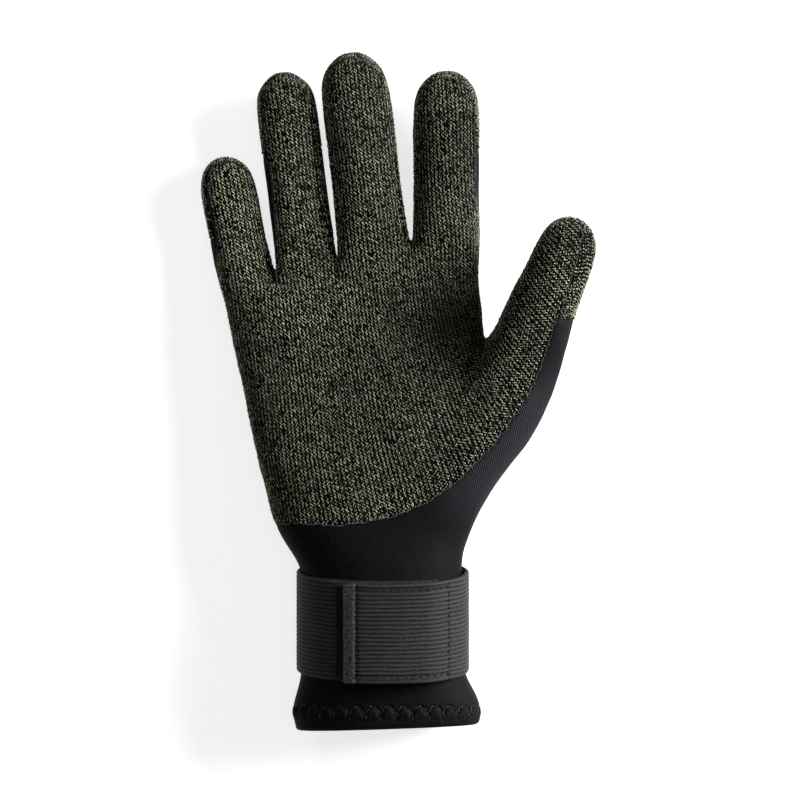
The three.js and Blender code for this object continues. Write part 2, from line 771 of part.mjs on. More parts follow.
// Strap: its line round the wrist is found from the glove below it

const wristMiddle = new THREE.Vector3(0, strapBottom + strapWidth / 2, handDepth / 2 + strapFloor);
const target = new THREE.Mesh(outerGeometry, new THREE.MeshBasicMaterial({ side: THREE.DoubleSide }));
const ray = new THREE.Raycaster();
const wristLine = Array.from({ length: wristSteps }, (_, j) => {
  const angle = (j / wristSteps) * 2 * Math.PI;
  const away = new THREE.Vector3(Math.cos(angle), 0, Math.sin(angle));
  let reach = 0;
  for (let share = -0.5; share <= 0.5; share += 0.1) {
    const from = wristMiddle.clone().addScaledVector(away, handWidth);
    from.y += share * strapWidth - strapTilt * away.z * handDepth * 0.5;
    ray.set(from, away.clone().negate());
    reach = Math.max(reach, handWidth - ray.intersectObject(target)[0].distance);
  }
  return new THREE.Vector2(reach * away.x, reach * away.z);
});

// Point of the line at an angle, moved outwards
function wristPoint(degrees, outwards) {
  const at = (((degrees / 360) % 1) + 1) * wristSteps;
  const pointAt = (k) => wristLine[((k % wristSteps) + wristSteps) % wristSteps];
  const i = Math.floor(at);
  const place = pointAt(i).clone().lerp(pointAt(i + 1), at - i);
  const normalAt = (k) => {
    const ahead = pointAt(k + 1).clone().sub(pointAt(k - 1)).normalize();
    return new THREE.Vector2(ahead.y, -ahead.x);
  };
  const normal = normalAt(i).lerp(normalAt(i + 1), at - i).normalize();
  return place.addScaledVector(normal, outwards);
}

const strapLift = strapThickness + 2 * patchThickness + 3 * layerGap;
function strapOffset(degrees) {
  return layerGap + strapLift * THREE.MathUtils.smoothstep(degrees, strapLeaves, strapLands);
}

// Band between two angles, with its inner face at an offset from the glove
function band(from, to, offsetAt, thickness, width) {
  const step = 360 / wristSteps;
  const angles = [from];
  for (let k = Math.floor(from / step) + 1; k * step < to; k++) angles.push(k * step);
  angles.push(to);
  const points = [];
  for (const degrees of angles) {
    for (const [side, depth] of [[-1, 0], [1, 0], [1, 1], [-1, 1]]) {
      const p = wristPoint(degrees, offsetAt(degrees) + depth * thickness);
      const y = wristMiddle.y + (side * width) / 2 - strapTilt * p.y;
      points.push(new THREE.Vector3(wristMiddle.x + p.x, y, Math.max(wristMiddle.z + p.y, 0)));
    }
  }
  const last = angles.length - 1;
  const faces = [[0, 1, 2, 3], [3, 2, 1, 0].map((p) => p + 4 * last)];
  for (let i = 0; i < last; i++) {
    for (let k = 0; k < 4; k++) {
      const a = 4 * i + k;
      const b = 4 * i + ((k + 1) % 4);
      faces.push([a, a + 4, b + 4, b]);
    }
  }
  return geometryOf(points, faces);
}

const patchWidth = strapWidth - 2 * patchMargin;
const loopOffset = () => 2 * layerGap + strapThickness;
const hookOffset = () => 3 * layerGap + strapThickness + patchThickness;

// Parts

const group = new THREE.Group();
group.name = "diving_glove";

function addPart(name, geometry, colour) {
  const mesh = new THREE.Mesh(geometry, new THREE.MeshStandardMaterial({ color: colour }));
  mesh.name = name;
  group.add(mesh);
}

addPart("palm_panel", geometryFrom(palm), 0x3c3c33);
addPart("back_panel", geometryFrom(back), 0x16171a);
for (const [name, cap] of Object.entries(caps)) addPart(`${name}_tip_cap`, geometryFrom(cap), 0x45453b);
addPart("wrist_strap", band(strapStarts, strapEnds, strapOffset, strapThickness, strapWidth), 0x2c2e2e);
addPart("loop_patch", band(...loopPatchSpan, loopOffset, patchThickness, patchWidth), 0x1b1b1b);
addPart("hook_patch", band(...hookPatchSpan, hookOffset, patchThickness, patchWidth), 0x101010);

const box = new THREE.Box3().setFromObject(group);
const middle = box.getCenter(new THREE.Vector3());
group.position.set(-middle.x, -middle.y, -box.min.z);

export default group;
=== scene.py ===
# A right-hand diving glove that lies palm up: knit-faced palm and fingertip caps on neoprene,
# a plain neoprene back and cuff, and an elastic strap that closes on itself at the wrist.
import math
import bpy
import numpy as np
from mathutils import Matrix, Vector, noise
from mathutils.bvhtree import BVHTree


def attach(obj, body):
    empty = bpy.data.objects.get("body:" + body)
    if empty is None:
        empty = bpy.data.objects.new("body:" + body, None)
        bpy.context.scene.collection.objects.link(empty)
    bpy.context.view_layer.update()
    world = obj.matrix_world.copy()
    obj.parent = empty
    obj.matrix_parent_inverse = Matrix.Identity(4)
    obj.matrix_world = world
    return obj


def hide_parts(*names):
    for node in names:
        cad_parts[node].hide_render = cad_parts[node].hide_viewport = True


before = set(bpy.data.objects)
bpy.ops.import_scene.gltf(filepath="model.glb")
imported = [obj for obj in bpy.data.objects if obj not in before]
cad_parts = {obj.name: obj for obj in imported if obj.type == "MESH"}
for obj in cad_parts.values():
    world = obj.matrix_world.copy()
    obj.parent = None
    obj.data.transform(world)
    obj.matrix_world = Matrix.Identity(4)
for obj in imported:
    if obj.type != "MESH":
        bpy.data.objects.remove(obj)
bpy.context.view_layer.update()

mm = 0.001
scene = bpy.context.scene

# Camera, light and floor

studio = {
    "field": 0.32,  # width that the picture shows at the glove
    "distance": 3.2,
    "sensor": 36.0,
    "middle": (0.00086, -0.00326, 0.02),
    "world": 0.1,
    "floorTone": 0.5,
    "floorCloud": 0.03,
    "floorReach": 6.0,
    "floorGlow": 0.74,  # the glove lies on a white table that is lit from below
    # place, size, watts and colour of each soft box
    "lights": {
        "rightSoftbox": ((1.25, 0.4, 0.55), 0.7, 68.0, (1.0, 0.99, 0.98)),
        "leftSoftbox": ((-0.7, 1.2, 0.9), 0.7, 6.0, (0.98, 0.98, 1.0)),
        "topSoftbox": ((0.2, -0.2, 2.0), 1.4, 4.0, (1.0, 1.0, 1.0)),
    },
}


def aim(thing, target):
    direction = Vector(target) - thing.location
    thing.rotation_euler = direction.to_track_quat("-Z", "Y").to_euler()


def makeCamera():
    data = bpy.data.cameras.new("camera")
    data.sensor_width = studio["sensor"]
    data.lens = studio["sensor"] * studio["distance"] / studio["field"]
    camera = bpy.data.objects.new("camera", data)
    x, y, z = studio["middle"]
    camera.location = (x, y, z + studio["distance"])
    scene.collection.objects.link(camera)
    scene.camera = camera


def makeLights():
    for name, (place, size, watts, colour) in studio["lights"].items():
        data = bpy.data.lights.new(name, "AREA")
        data.size = size
        data.energy = watts
        data.color = colour
        light = bpy.data.objects.new(name, data)
        light.location = place
        scene.collection.objects.link(light)
        aim(light, (0, 0, 0))
    world = bpy.data.worlds.new("studio")
    world.use_nodes = True
    world.node_tree.nodes["Background"].inputs["Color"].default_value = (1, 1, 1, 1)
    world.node_tree.nodes["Background"].inputs["Strength"].default_value = studio["world"]
    scene.world = world
    scene.view_settings.view_transform = "Standard"


makeCamera()
makeLights()
print("camera and light ready")

# Shader helpers


def newMaterial(name):
    material = bpy.data.materials.new(name)
    material.use_nodes = True
    tree = material.node_tree
    return material, tree, tree.nodes["Principled BSDF"]


def node(tree, kind, **values):
    made = tree.nodes.new(kind)
    for key, value in values.items():
        if hasattr(made, key):
            setattr(made, key, value)
        else:
            made.inputs[key.replace("_", " ")].default_value = value
    return made


def mathNode(tree, operation, a, b=None, clamp=False):
    made = tree.nodes.new("ShaderNodeMath")
    made.operation = operation
    made.use_clamp = clamp
    for socket, value in zip(made.inputs, (a, b)):
        if value is None:
            continue
        if isinstance(value, (int, float)):
            socket.default_value = value
        else:
            tree.links.new(value, socket)
    return made.outputs[0]


def mixColour(tree, factor, a, b):
    made = tree.nodes.new("ShaderNodeMix")
    made.data_type = "RGBA"
    for socket, value in ((made.inputs["Factor"], factor), (made.inputs[6], a), (made.inputs[7], b)):
        if isinstance(value, tuple):
            socket.default_value = (*value, 1)
        else:
            tree.links.new(value, socket)
    return made.outputs[2]


def newGroup(name, inputs, outputs):
    tree = bpy.data.node_groups.new(name, "ShaderNodeTree")
    for label, kind, value in inputs:
        socket = tree.interface.new_socket(name=label, in_out="INPUT", socket_type=kind)
        if value is not None:
            socket.default_value = value
    for label, kind in outputs:
        tree.interface.new_socket(name=label, in_out="OUTPUT", socket_type=kind)
    return tree, tree.nodes.new("NodeGroupInput"), tree.nodes.new("NodeGroupOutput")


def useGroup(tree, group, **values):
    made = tree.nodes.new("ShaderNodeGroup")
    made.node_tree = group
    for key, value in values.items():
        socket = made.inputs[key]
        if isinstance(value, (int, float)):
            socket.default_value = value
        else:
            tree.links.new(value, socket)
    return made


def clothCoordinates(tree):
    return node(tree, "ShaderNodeAttribute", attribute_name="cloth").outputs["Vector"]


def surfaceValue(tree, name):
    return node(tree, "ShaderNodeAttribute", attribute_name=name).outputs["Fac"]


def shadeBy(tree, colour, value):
    mixed = node(tree, "ShaderNodeVectorMath", operation="SCALE")
    for socket, given in ((mixed.inputs[0], colour), (mixed.inputs["Scale"], value)):
        if isinstance(given, (tuple, float)):
            socket.default_value = given
        else:
            tree.links.new(given, socket)
    return mixed.outputs[0]


def setShader(shader, **values):
    for key, value in values.items():
        shader.inputs[key.replace("_", " ")].default_value = value


def finish(tree, shader, look, height):
    bump = node(tree, "ShaderNodeBump", Distance=look["relief"] * mm)
    tree.links.new(height, bump.inputs["Height"])
    tree.links.new(bump.outputs["Normal"], shader.inputs["Normal"])
    setShader(shader, Roughness=look["rough"], Specular_IOR_Level=look["shine"])
    if "sheen" in look:
        setShader(shader, Sheen_Weight=look["sheen"], Sheen_Roughness=look["sheenRough"])


# Uneven dye, dust and rubbed places, in millimetres of cloth
def makeWearGroup():
    tree, source, out = newGroup(
        "wornCloth",
        [
            ("Cloth", "NodeSocketVector", None),
            ("Scale", "NodeSocketFloat", 0.05),
            ("Spread", "NodeSocketFloat", 0.5),
        ],
        [("Shade", "NodeSocketFloat"), ("Dust", "NodeSocketFloat")],
    )
    wide = node(tree, "ShaderNodeTexNoise", Detail=4.0, Roughness=0.6)
    tree.links.new(source.outputs["Cloth"], wide.inputs["Vector"])
    tree.links.new(source.outputs["Scale"], wide.inputs["Scale"])
    centred = mathNode(tree, "SUBTRACT", wide.outputs["Fac"], 0.5)
    spread = mathNode(tree, "MULTIPLY", centred, source.outputs["Spread"])
    tree.links.new(mathNode(tree, "ADD", spread, 1.0), out.inputs["Shade"])
    fine = node(tree, "ShaderNodeTexNoise", Detail=2.0, Scale=1.6, Roughness=0.7)
    tree.links.new(source.outputs["Cloth"], fine.inputs["Vector"])
    above = mathNode(tree, "SUBTRACT", fine.outputs["Fac"], 0.5)
    specks = mathNode(tree, "MULTIPLY", above, 5.0, clamp=True)
    tree.links.new(specks, out.inputs["Dust"])
    return tree


# Fine jersey: columns of tiny stitches across X, courses along Y, in millimetres of cloth
def makeJerseyGroup():
    tree, source, out = newGroup(
        "jersey",
        [
            ("Cloth", "NodeSocketVector", None),
            ("Column", "NodeSocketFloat", 1.2),
            ("Course", "NodeSocketFloat", 0.8),
        ],
        [("Height", "NodeSocketFloat"), ("Lines", "NodeSocketFloat")],
    )
    parts = node(tree, "ShaderNodeSeparateXYZ")
    tree.links.new(source.outputs["Cloth"], parts.inputs[0])
    across = mathNode(tree, "DIVIDE", parts.outputs["X"], source.outputs["Column"])
    along = mathNode(tree, "DIVIDE", parts.outputs["Y"], source.outputs["Course"])
    column = mathNode(tree, "ABSOLUTE", mathNode(tree, "SINE", mathNode(tree, "MULTIPLY", across, math.pi)))
    slant = mathNode(tree, "PINGPONG", across, 0.5)
    slanted = mathNode(tree, "ADD", along, slant)
    course = mathNode(tree, "SINE", mathNode(tree, "MULTIPLY", slanted, 2 * math.pi))
    course = mathNode(tree, "MULTIPLY", course, 0.25)
    tree.links.new(mathNode(tree, "ADD", column, course), out.inputs["Height"])
    tree.links.new(column, out.inputs["Lines"])
    return tree


# Yarn hair: short fibres in all directions
def makeFibreGroup():
    tree, source, out = newGroup(
        "yarnFibres",
        [("Cloth", "NodeSocketVector", None), ("Scale", "NodeSocketFloat", 3.0)],
        [("Height", "NodeSocketFloat"), ("Glint", "NodeSocketFloat")],
    )
    strands = node(tree, "ShaderNodeTexNoise", Detail=5.0, Roughness=0.75, Distortion=1.2)
    tree.links.new(source.outputs["Cloth"], strands.inputs["Vector"])
    tree.links.new(source.outputs["Scale"], strands.inputs["Scale"])
    tree.links.new(strands.outputs["Fac"], out.inputs["Height"])
    above = mathNode(tree, "SUBTRACT", strands.outputs["Fac"], 0.55)
    glint = mathNode(tree, "MULTIPLY", above, 6.0, clamp=True)
    tree.links.new(glint, out.inputs["Glint"])
    return tree


wornCloth = makeWearGroup()
jersey = makeJerseyGroup()
yarnFibres = makeFibreGroup()


# Each look holds a cloth's colours, the size and strength of its wear and fibres, its relief in
# millimetres and its finish
knitGroundLook = {
    "colour": (0.002, 0.002, 0.0015),
    "column": 1.65,
    "course": 2.4,
    "wearFine": 0.06,
    "wear": 0.8,
    "relief": 0.35,
    "rough": 0.9,
    "shine": 0.03,
}


def knitGroundMaterial():
    look = knitGroundLook
    material, tree, shader = newMaterial("knitGround")
    cloth = clothCoordinates(tree)
    wear = useGroup(tree, wornCloth, Cloth=cloth, Scale=look["wearFine"], Spread=look["wear"])
    loops = useGroup(tree, jersey, Cloth=cloth, Column=look["column"], Course=look["course"])
    deep = mathNode(tree, "MULTIPLY", loops.outputs["Lines"], wear.outputs["Shade"])
    tree.links.new(shadeBy(tree, look["colour"], deep), shader.inputs["Base Color"])
    finish(tree, shader, look, loops.outputs["Height"])
    return material


knitYarnLook = {
    "dark": (0.003, 0.003, 0.002),
    "grey": (0.52, 0.52, 0.45),
    "olive": (0.46, 0.455, 0.25),
    "fibres": 2.2,
    "wearFine": 0.05,
    "wear": 0.7,
    "relief": 0.12,
    "rough": 0.6,
    "shine": 0.08,
    "sheen": 0.05,
    "sheenRough": 0.4,
}


def knitYarnMaterial():
    look = knitYarnLook
    material, tree, shader = newMaterial("knitYarn")
    cloth = clothCoordinates(tree)
    # the strands' tone carries the painted light and shade of the spots
    tone = surfaceValue(tree, "tone")
    fibres = useGroup(tree, yarnFibres, Cloth=cloth, Scale=look["fibres"])
    wear = useGroup(tree, wornCloth, Cloth=cloth, Scale=look["wearFine"], Spread=look["wear"])
    speckled = mathNode(tree, "MULTIPLY", tone, mathNode(tree, "ADD", fibres.outputs["Height"], 0.5))
    bright = mixColour(tree, surfaceValue(tree, "tint"), look["grey"], look["olive"])
    shown = mathNode(tree, "MULTIPLY", speckled, wear.outputs["Shade"], clamp=True)
    colour = mixColour(tree, shown, look["dark"], bright)
    tree.links.new(colour, shader.inputs["Base Color"])
    finish(tree, shader, look, fibres.outputs["Height"])
    return material


neopreneLook = {
    "colour": (0.0022, 0.0022, 0.0024),
    # painted sheen on the rib tops, where the light grazes
    "ribPaintedSheen": (0.022, 0.0245, 0.03),
    "lintAndGlint": (0.02, 0.0205, 0.0225),
    "lintAndGlintShare": 0.5,
    "column": 1.02,
    "course": 0.8,
    "ribNarrow": 2.5,
    "plainRelief": 0.03,  # share of the relief where no ribs show
    "wearFine": 0.035,
    "wear": 0.9,
    "relief": 0.11,
    "rough": 0.65,
    "shine": 0.035,
    "sheen": 0.006,
    "sheenRough": 0.35,
}


# Neoprene with fine ribs where the attribute "ribbed" is high, their tops painted a lighter bluish sheen
# there, and specks of lint all over
def neopreneMaterial():
    look = neopreneLook
    material, tree, shader = newMaterial("neoprene")
    cloth = clothCoordinates(tree)
    ribbed = surfaceValue(tree, "ribbed")
    wear = useGroup(tree, wornCloth, Cloth=cloth, Scale=look["wearFine"], Spread=look["wear"])
    weave = useGroup(tree, jersey, Cloth=cloth, Column=look["column"], Course=look["course"])
    narrow = mathNode(tree, "POWER", weave.outputs["Lines"], look["ribNarrow"])
    ribs = mathNode(tree, "MULTIPLY", narrow, ribbed)
    plain = shadeBy(tree, look["colour"], wear.outputs["Shade"])
    # the ribs' tops painted a lighter bluish sheen
    shaded = mixColour(tree, ribs, plain, look["ribPaintedSheen"])
    specks = mathNode(tree, "MULTIPLY", wear.outputs["Dust"], look["lintAndGlintShare"])
    tree.links.new(mixColour(tree, specks, shaded, look["lintAndGlint"]), shader.inputs["Base Color"])
    relief = mathNode(tree, "MULTIPLY", ribbed, 1 - look["plainRelief"])
    relief = mathNode(tree, "ADD", relief, look["plainRelief"])
    finish(tree, shader, look, mathNode(tree, "MULTIPLY", weave.outputs["Height"], relief))
    return material


elasticLook = {
    "colour": (0.015, 0.017, 0.0165),
    # colour of the painted glints on the elastic's fibres
    "lintAndGlint": (0.115, 0.123, 0.12),
    "lintAndGlintShare": 0.5,
    "column": 0.9,
    "course": 1.7,
    # the grooves' tone: painted shade
    "valley": 0.02,
    "pick": 0.12,
    "ridge": 1.3,  # how light the ribs' tops are painted: painted light
    "pickRelief": 0.3,
    "fibres": 1.9,
    "wearFine": 0.08,
    "wear": 0.6,
    "relief": 0.16,
    "rough": 0.55,
    "shine": 0.07,
    "sheen": 0.015,
    "sheenRough": 0.35,
}


def elasticMaterial():
    look = elasticLook
    material, tree, shader = newMaterial("elasticWebbing")
    cloth = clothCoordinates(tree)
    wear = useGroup(tree, wornCloth, Cloth=cloth, Scale=look["wearFine"], Spread=look["wear"])
    picks = useGroup(tree, jersey, Cloth=cloth, Column=look["column"], Course=look["course"])
    fibres = useGroup(tree, yarnFibres, Cloth=cloth, Scale=look["fibres"])
    woven = mathNode(tree, "MULTIPLY", picks.outputs["Lines"], look["pick"])
    woven = mathNode(tree, "ADD", woven, look["valley"])
    # painted light on the ribs' tops, from the strap's ridge attribute
    paintedRibLight = mathNode(tree, "MULTIPLY", surfaceValue(tree, "ridge"), look["ridge"])
    woven = mathNode(tree, "ADD", woven, paintedRibLight)
    shaded = shadeBy(tree, look["colour"], mathNode(tree, "MULTIPLY", wear.outputs["Shade"], woven))
    # painted glints on the elastic's fibres, mixed in with the lint and glint colour
    glints = mathNode(tree, "MULTIPLY", fibres.outputs["Glint"], look["lintAndGlintShare"])
    tree.links.new(mixColour(tree, glints, shaded, look["lintAndGlint"]), shader.inputs["Base Color"])
    picked = mathNode(tree, "MULTIPLY", picks.outputs["Height"], look["pickRelief"])
    finish(tree, shader, look, mathNode(tree, "ADD", picked, fibres.outputs["Height"]))
    return material


threadLook = {"fibres": 2.5, "relief": 0.1, "shine": 0.2}


def threadMaterial(name, colour, rough=0.5):
    material, tree, shader = newMaterial(name)
    place = node(tree, "ShaderNodeNewGeometry").outputs["Position"]
    millimetres = shadeBy(tree, place, 1 / mm)
    fibres = useGroup(tree, yarnFibres, Cloth=millimetres, Scale=threadLook["fibres"])
    shade = mathNode(tree, "ADD", fibres.outputs["Height"], 0.5)
    tree.links.new(shadeBy(tree, colour, shade), shader.inputs["Base Color"])
    finish(tree, shader, {**threadLook, "rough": rough}, fibres.outputs["Height"])
    return material


def floorMaterial():
    material, tree, shader = newMaterial("paleFloor")
    place = node(tree, "ShaderNodeNewGeometry").outputs["Position"]
    cloud = node(tree, "ShaderNodeTexNoise", Scale=3.0, Detail=3.0)
    tree.links.new(place, cloud.inputs["Vector"])
    tone = studio["floorTone"]
    colour = mixColour(tree, cloud.outputs["Fac"], (tone,) * 3, (tone + studio["floorCloud"],) * 3)
    tree.links.new(colour, shader.inputs["Base Color"])
    setShader(shader, Roughness=0.8, Specular_IOR_Level=0.1)
    setShader(shader, Emission_Color=(1, 1, 1, 1), Emission_Strength=studio["floorGlow"])
    return material


def makeFloor():
    size = studio["floorReach"]
    mesh = bpy.data.meshes.new("floor")
    corners = [(-size, -size, 0), (size, -size, 0), (size, size, 0), (-size, size, 0)]
    mesh.from_pydata(corners, [], [(0, 1, 2, 3)])
    floor = bpy.data.objects.new("floor", mesh)
    scene.collection.objects.link(floor)
    mesh.materials.append(floorMaterial())


makeFloor()
print("floor and shader groups ready")

# The glove's own sizes, in millimetres from the hem and the middle line

glove = {
    "wall": 3.0,
    "width": 105.0,
    "depth": 38.0,
    "cuff": 24.2,
    "strap": 40.0,
    "wrist": 19.8,
    "palm": 106.4,
    "hem": 14.0,
    "lip": 2.2,
    "fullness": 2.3,  # the hand's section is an oval of this power
    "thumbPart": (0.6, 0.9),  # where the thumb's side starts and is full, as shares of the width
    "fingerDepth": 0.78,  # share of a finger's width
    "curlFrom": 0.1,  # the fingers start to rise this share of the palm below their roots
    "curlPower": 1.8,
    "tipLift": 8.0,
    "tipRound": 0.6,
    "tipAngles": (38, 68),
    "forkDip": 5.5,
    "rootSwell": 1.12,
    "rootOut": 0.13,
    "sideDeep": 0.72,
    "forkDeep": 0.8,
    "seamGap": 0.25,
    "seamDip": 0.35,  # how deep the panels sink at their sewn edges
    "seamRoll": 1.1,
    "uneven": 0.28,
    "unevenSize": 17.0,
    "restRoll": 0.5,  # softness of the edge of the flat that it rests on
    "restEdge": 0.2,
}


def table(columns, *rows):
    return [dict(zip(columns.split(), row)) for row in rows]


# The seam round a finger lies above the middle of its depth: seamLeft, seamRight and seamTip
# are shares of its width. It rises from seamFrom to seamFull, shares of the palm's length.
fingers = table(
    "name length width lean seamLeft seamRight seamTip seamFrom seamFull",
    ("little", 39.6, 22.2, 10.9, 0.243, 0.02, 0.15, 0.84, 1.06),
    ("ring", 73.2, 24.0, 7.3, 0.217, 0.08, 0.12, 0.98, 1.05),
    ("middle", 81.2, 27.4, 6.9, 0, 0.09, 0.24, 1.02, 1.1),
    ("index", 74.0, 26.4, 0.0, 0, 0.254, 0.261, 1.05, 1.3),
)
thumb = {"reach": 122.4, "spread": 76.4, "width": 28.4, "depth": 26.0, "rise": 28.5, "tipRound": 14.2}

# The hand's rows: along are shares of the zone's length, across of the width, heights of the depth
handRows = table(
    "zone left right leftAt rightAt top thumbTop base thumbBase leftSide rightSide round",
    ("cuff", 0.09, 0.2, -0.333, 0.369, 1, 1, -0.06, -0.06, 0.47, 0.48, 1),
    ("cuff", 0.37, 0.475, -0.341, 0.366, 1.01, 1.01, -0.06, -0.06, 0.47, 0.48, 1),
    ("cuff", 0.73, 0.78, -0.323, 0.333, 1.02, 1.02, -0.02, -0.02, 0.49, 0.5, 1),
    ("strap", 0.155, 0.155, -0.307, 0.3, 1.05, 1.05, 0, 0, 0.52, 0.52, 1),
    ("strap", 0.705, 0.705, -0.307, 0.297, 1.05, 1.05, 0, 0, 0.52, 0.52, 1),
    ("wrist", 0.12, 0.12, -0.322, 0.299, 1.05, 1.04, -0.01, -0.01, 0.51, 0.51, 1),
    ("wrist", 0.85, 0.71, -0.401, 0.327, 1.01, 1.03, -0.08, -0.06, 0.47, 0.49, 0.85),
    ("palm", 0.13, 0.13, -0.45, 0.424, 0.97, 1.05, -0.1, -0.04, 0.45, 0.51, 0.55),
    ("palm", 0.302, 0.287, -0.492, 0.543, 0.91, 1.06, -0.1, 0.04, 0.42, 0.55, 0.25),
    ("palm", 0.486, 0.437, -0.53, 0.628, 0.83, 1.05, -0.1, 0.14, 0.39, 0.6, 0.05),
    ("palm", 0.645, 0.571, -0.565, 0.676, 0.78, 1.02, -0.09, 0.25, 0.37, 0.63, 0),
)
palmRows = table(
    "left right leftAt rightAt top base leftSide rightSide",
    (0.747, 0.79, -0.587, 0.375, 0.74, -0.08, 0.35, 0.36),
    (0.85, 0.921, -0.611, 0.363, 0.655, -0.07, 0.32, 0.33),
)
forks = table("across along", (-0.411, 0.947), (-0.175, 1), (0.107, 1.056))
thumbFork = {"across": 0.396, "along": 0.688, "height": 0.45}
littleSide = {"across": -0.641, "along": 0.95}
indexSide = {"across": 0.368, "along": 1.068}
handColumns = (0.02, 0.078, 0.16, 0.25, 0.345, 0.447, 0.55, 0.655, 0.752, 0.873, 0.968)
palmColumns = (0.026, 0.112, 0.228, 0.34, 0.46, 0.6, 0.742, 0.875, 0.975)
palmHollows = table(
    "across along reachAcross reachAlong deep",
    (-0.02, 0.5, 0.27, 0.36, 0.1),
    (0.3, 0.55, 0.09, 0.13, 0.12),
)
fingerRings = table("along width depth", (0.34, 1, 1), (0.68, 1, 0.97), (1, 0.98, 0.93))
thumbRings = table(
    "across along height width depth lean",
    (0.82, 0.675, 0.93, 0.98, 1, 24),
    (0.891, 0.785, 0.97, 0.89, 0.93, 21),
    (0.953, 0.88, 1, 0.83, 0.85, 19),
)

# Where the palm panel's edge crosses the palm side, in shares of the thumb's spread and of its
# reach from the heel
edgeShares = (
    (-1.6, -0.005), (-0.56, -0.005), (-0.32, -0.01), (-0.12, -0.005), (0.1, 0.028),
    (0.262, 0.078), (0.398, 0.137), (0.518, 0.212), (0.623, 0.284), (0.728, 0.386),
    (0.796, 0.464), (0.838, 0.539), (0.88, 0.618), (0.932, 0.693), (0.965, 0.765),
    (0.997, 0.827), (1.029, 0.905), (1.035, 0.955), (1.015, 1.003), (1, 1.1),
)
edgeSteps = 4

strapTop = glove["cuff"] + glove["strap"]
heel = strapTop + glove["wrist"]
fork = heel + glove["palm"]
zones = {
    "cuff": (0, glove["cuff"]),
    "strap": (glove["cuff"], glove["strap"]),
    "wrist": (strapTop, glove["wrist"]),
    "palm": (heel, glove["palm"]),
}


def lerp(a, b, share):
    return a + (b - a) * share


def smoothstep(x, low, high):
    t = np.clip((x - low) / (high - low), 0, 1)
    return t * t * (3 - 2 * t)


def turned(degrees):
    angle = math.radians(degrees)
    return math.cos(angle), math.sin(angle)


def unit(vectors):
    return vectors / np.maximum(np.linalg.norm(vectors, axis=-1, keepdims=True), 1e-9)


# The part of each direction that lies in the skin
def alongSkin(directions, normals):
    return unit(directions - normals * np.sum(directions * normals, axis=1, keepdims=True))


# Distances along a row of points
def runLengths(points):
    steps = np.linalg.norm(np.diff(points, axis=0), axis=1)
    return np.concatenate(([0], np.cumsum(steps)))


def closedRow(points):
    return np.vstack((points, points[:1]))


def interpolated(at, reach, rows):
    return np.stack([np.interp(at, reach, column) for column in rows.T], axis=1)


cage = {"points": [], "faces": []}


def addPoint(x, y, z):
    cage["points"].append((x, y, z))
    return len(cage["points"]) - 1


def bridge(lower, upper):
    for j, point in enumerate(lower):
        following = (j + 1) % len(lower)
        cage["faces"].append((point, lower[following], upper[following], upper[j]))


def palmHollow(x, y):
    total = 0
    for hollow in palmHollows:
        across = (x / glove["width"] - hollow["across"]) / hollow["reachAcross"]
        along = ((y - heel) / glove["palm"] - hollow["along"]) / hollow["reachAlong"]
        total += hollow["deep"] * glove["depth"] * math.exp(-across ** 2 - along ** 2)
    return total


def rowPlace(row, zone, share):
    x = lerp(row["leftAt"], row["rightAt"], share) * glove["width"]
    y = zone[0] + lerp(row["left"], row["right"], share) * zone[1]
    return x, y, lerp(row["leftSide"], row["rightSide"], share) * glove["depth"]


def rowPoints(row, zone, shares, side):
    made = []
    power = glove["fullness"]
    for share in shares:
        x, y, middle = rowPlace(row, zone, share)
        thumbPart = smoothstep(share, *glove["thumbPart"])
        end = "top" if side > 0 else "base"
        thumbEnd = row.get("thumbTop" if side > 0 else "thumbBase", row[end])
        swell = (1 - abs(2 * share - 1) ** power) ** (1 / power)
        z = lerp(middle, lerp(row[end], thumbEnd, thumbPart) * glove["depth"], swell)
        made.append(addPoint(x, y, z - (palmHollow(x, y) * swell if side > 0 else 0)))
    return made


def addRow(row, zone, columns):
    count = len(columns)
    even = [0.5 - 0.5 * math.cos((j + 1) / (count + 1) * math.pi) for j in range(count)]
    shares = [lerp(share, even[j], row.get("round", 0)) for j, share in enumerate(columns)]
    front = rowPoints(row, zone, shares, 1)
    back = rowPoints(row, zone, shares, -1)
    left = addPoint(*rowPlace(row, zone, 0))
    right = addPoint(*rowPlace(row, zone, 1))
    return {"front": front, "back": back, "left": left, "right": right}


def loopOf(row):
    return [*row["front"], row["right"], *row["back"][::-1], row["left"]]


curlStart = fork - glove["curlFrom"] * glove["palm"]
curlLong = fork + fingers[2]["length"] - curlStart


def fingerHeight(finger, y):
    share = np.maximum((y - curlStart) / curlLong, 0)
    return finger["width"] * glove["fingerDepth"] / 2 + glove["tipLift"] * share ** glove["curlPower"]


forkEnds = [
    np.array((end["across"] * glove["width"], heel + end["along"] * glove["palm"], 0))
    for end in (littleSide, *forks, indexSide)
]


def placeFingers():
    for i, finger in enumerate(fingers):
        cos, sin = turned(finger["lean"])
        finger["along"] = np.array((-sin, cos, 0))
        finger["right"] = np.array((cos, sin, 0))
        finger["root"] = (forkEnds[i] + forkEnds[i + 1]) / 2
        if i in (0, 3):  # the outer fingers start at the hand's own side
            side, way = (forkEnds[0], 1) if i == 0 else (forkEnds[4], -1)
            finger["root"] = side + finger["right"] * way * finger["width"] / 2
        reach = (fork + finger["length"] - finger["root"][1]) / finger["along"][1]
        finger["straight"] = reach - finger["width"] * glove["tipRound"]


def ringAround(middle, right, width, depth):
    made = []
    for j in range(8):
        cos, sin = turned(90 - 45 * j)
        x, y = (middle + right * width / 2 * cos)[:2]
        made.append(addPoint(x, y, middle[2] + depth / 2 * sin))
    return made


def closeTip(ring, tip):
    for j in range(0, 8, 2):
        cage["faces"].append((ring[j], ring[j + 1], ring[(j + 2) % 8], tip))


def fingerMiddle(finger, distance):
    middle = finger["root"] + finger["along"] * distance
    middle[2] = fingerHeight(finger, middle[1])
    return middle


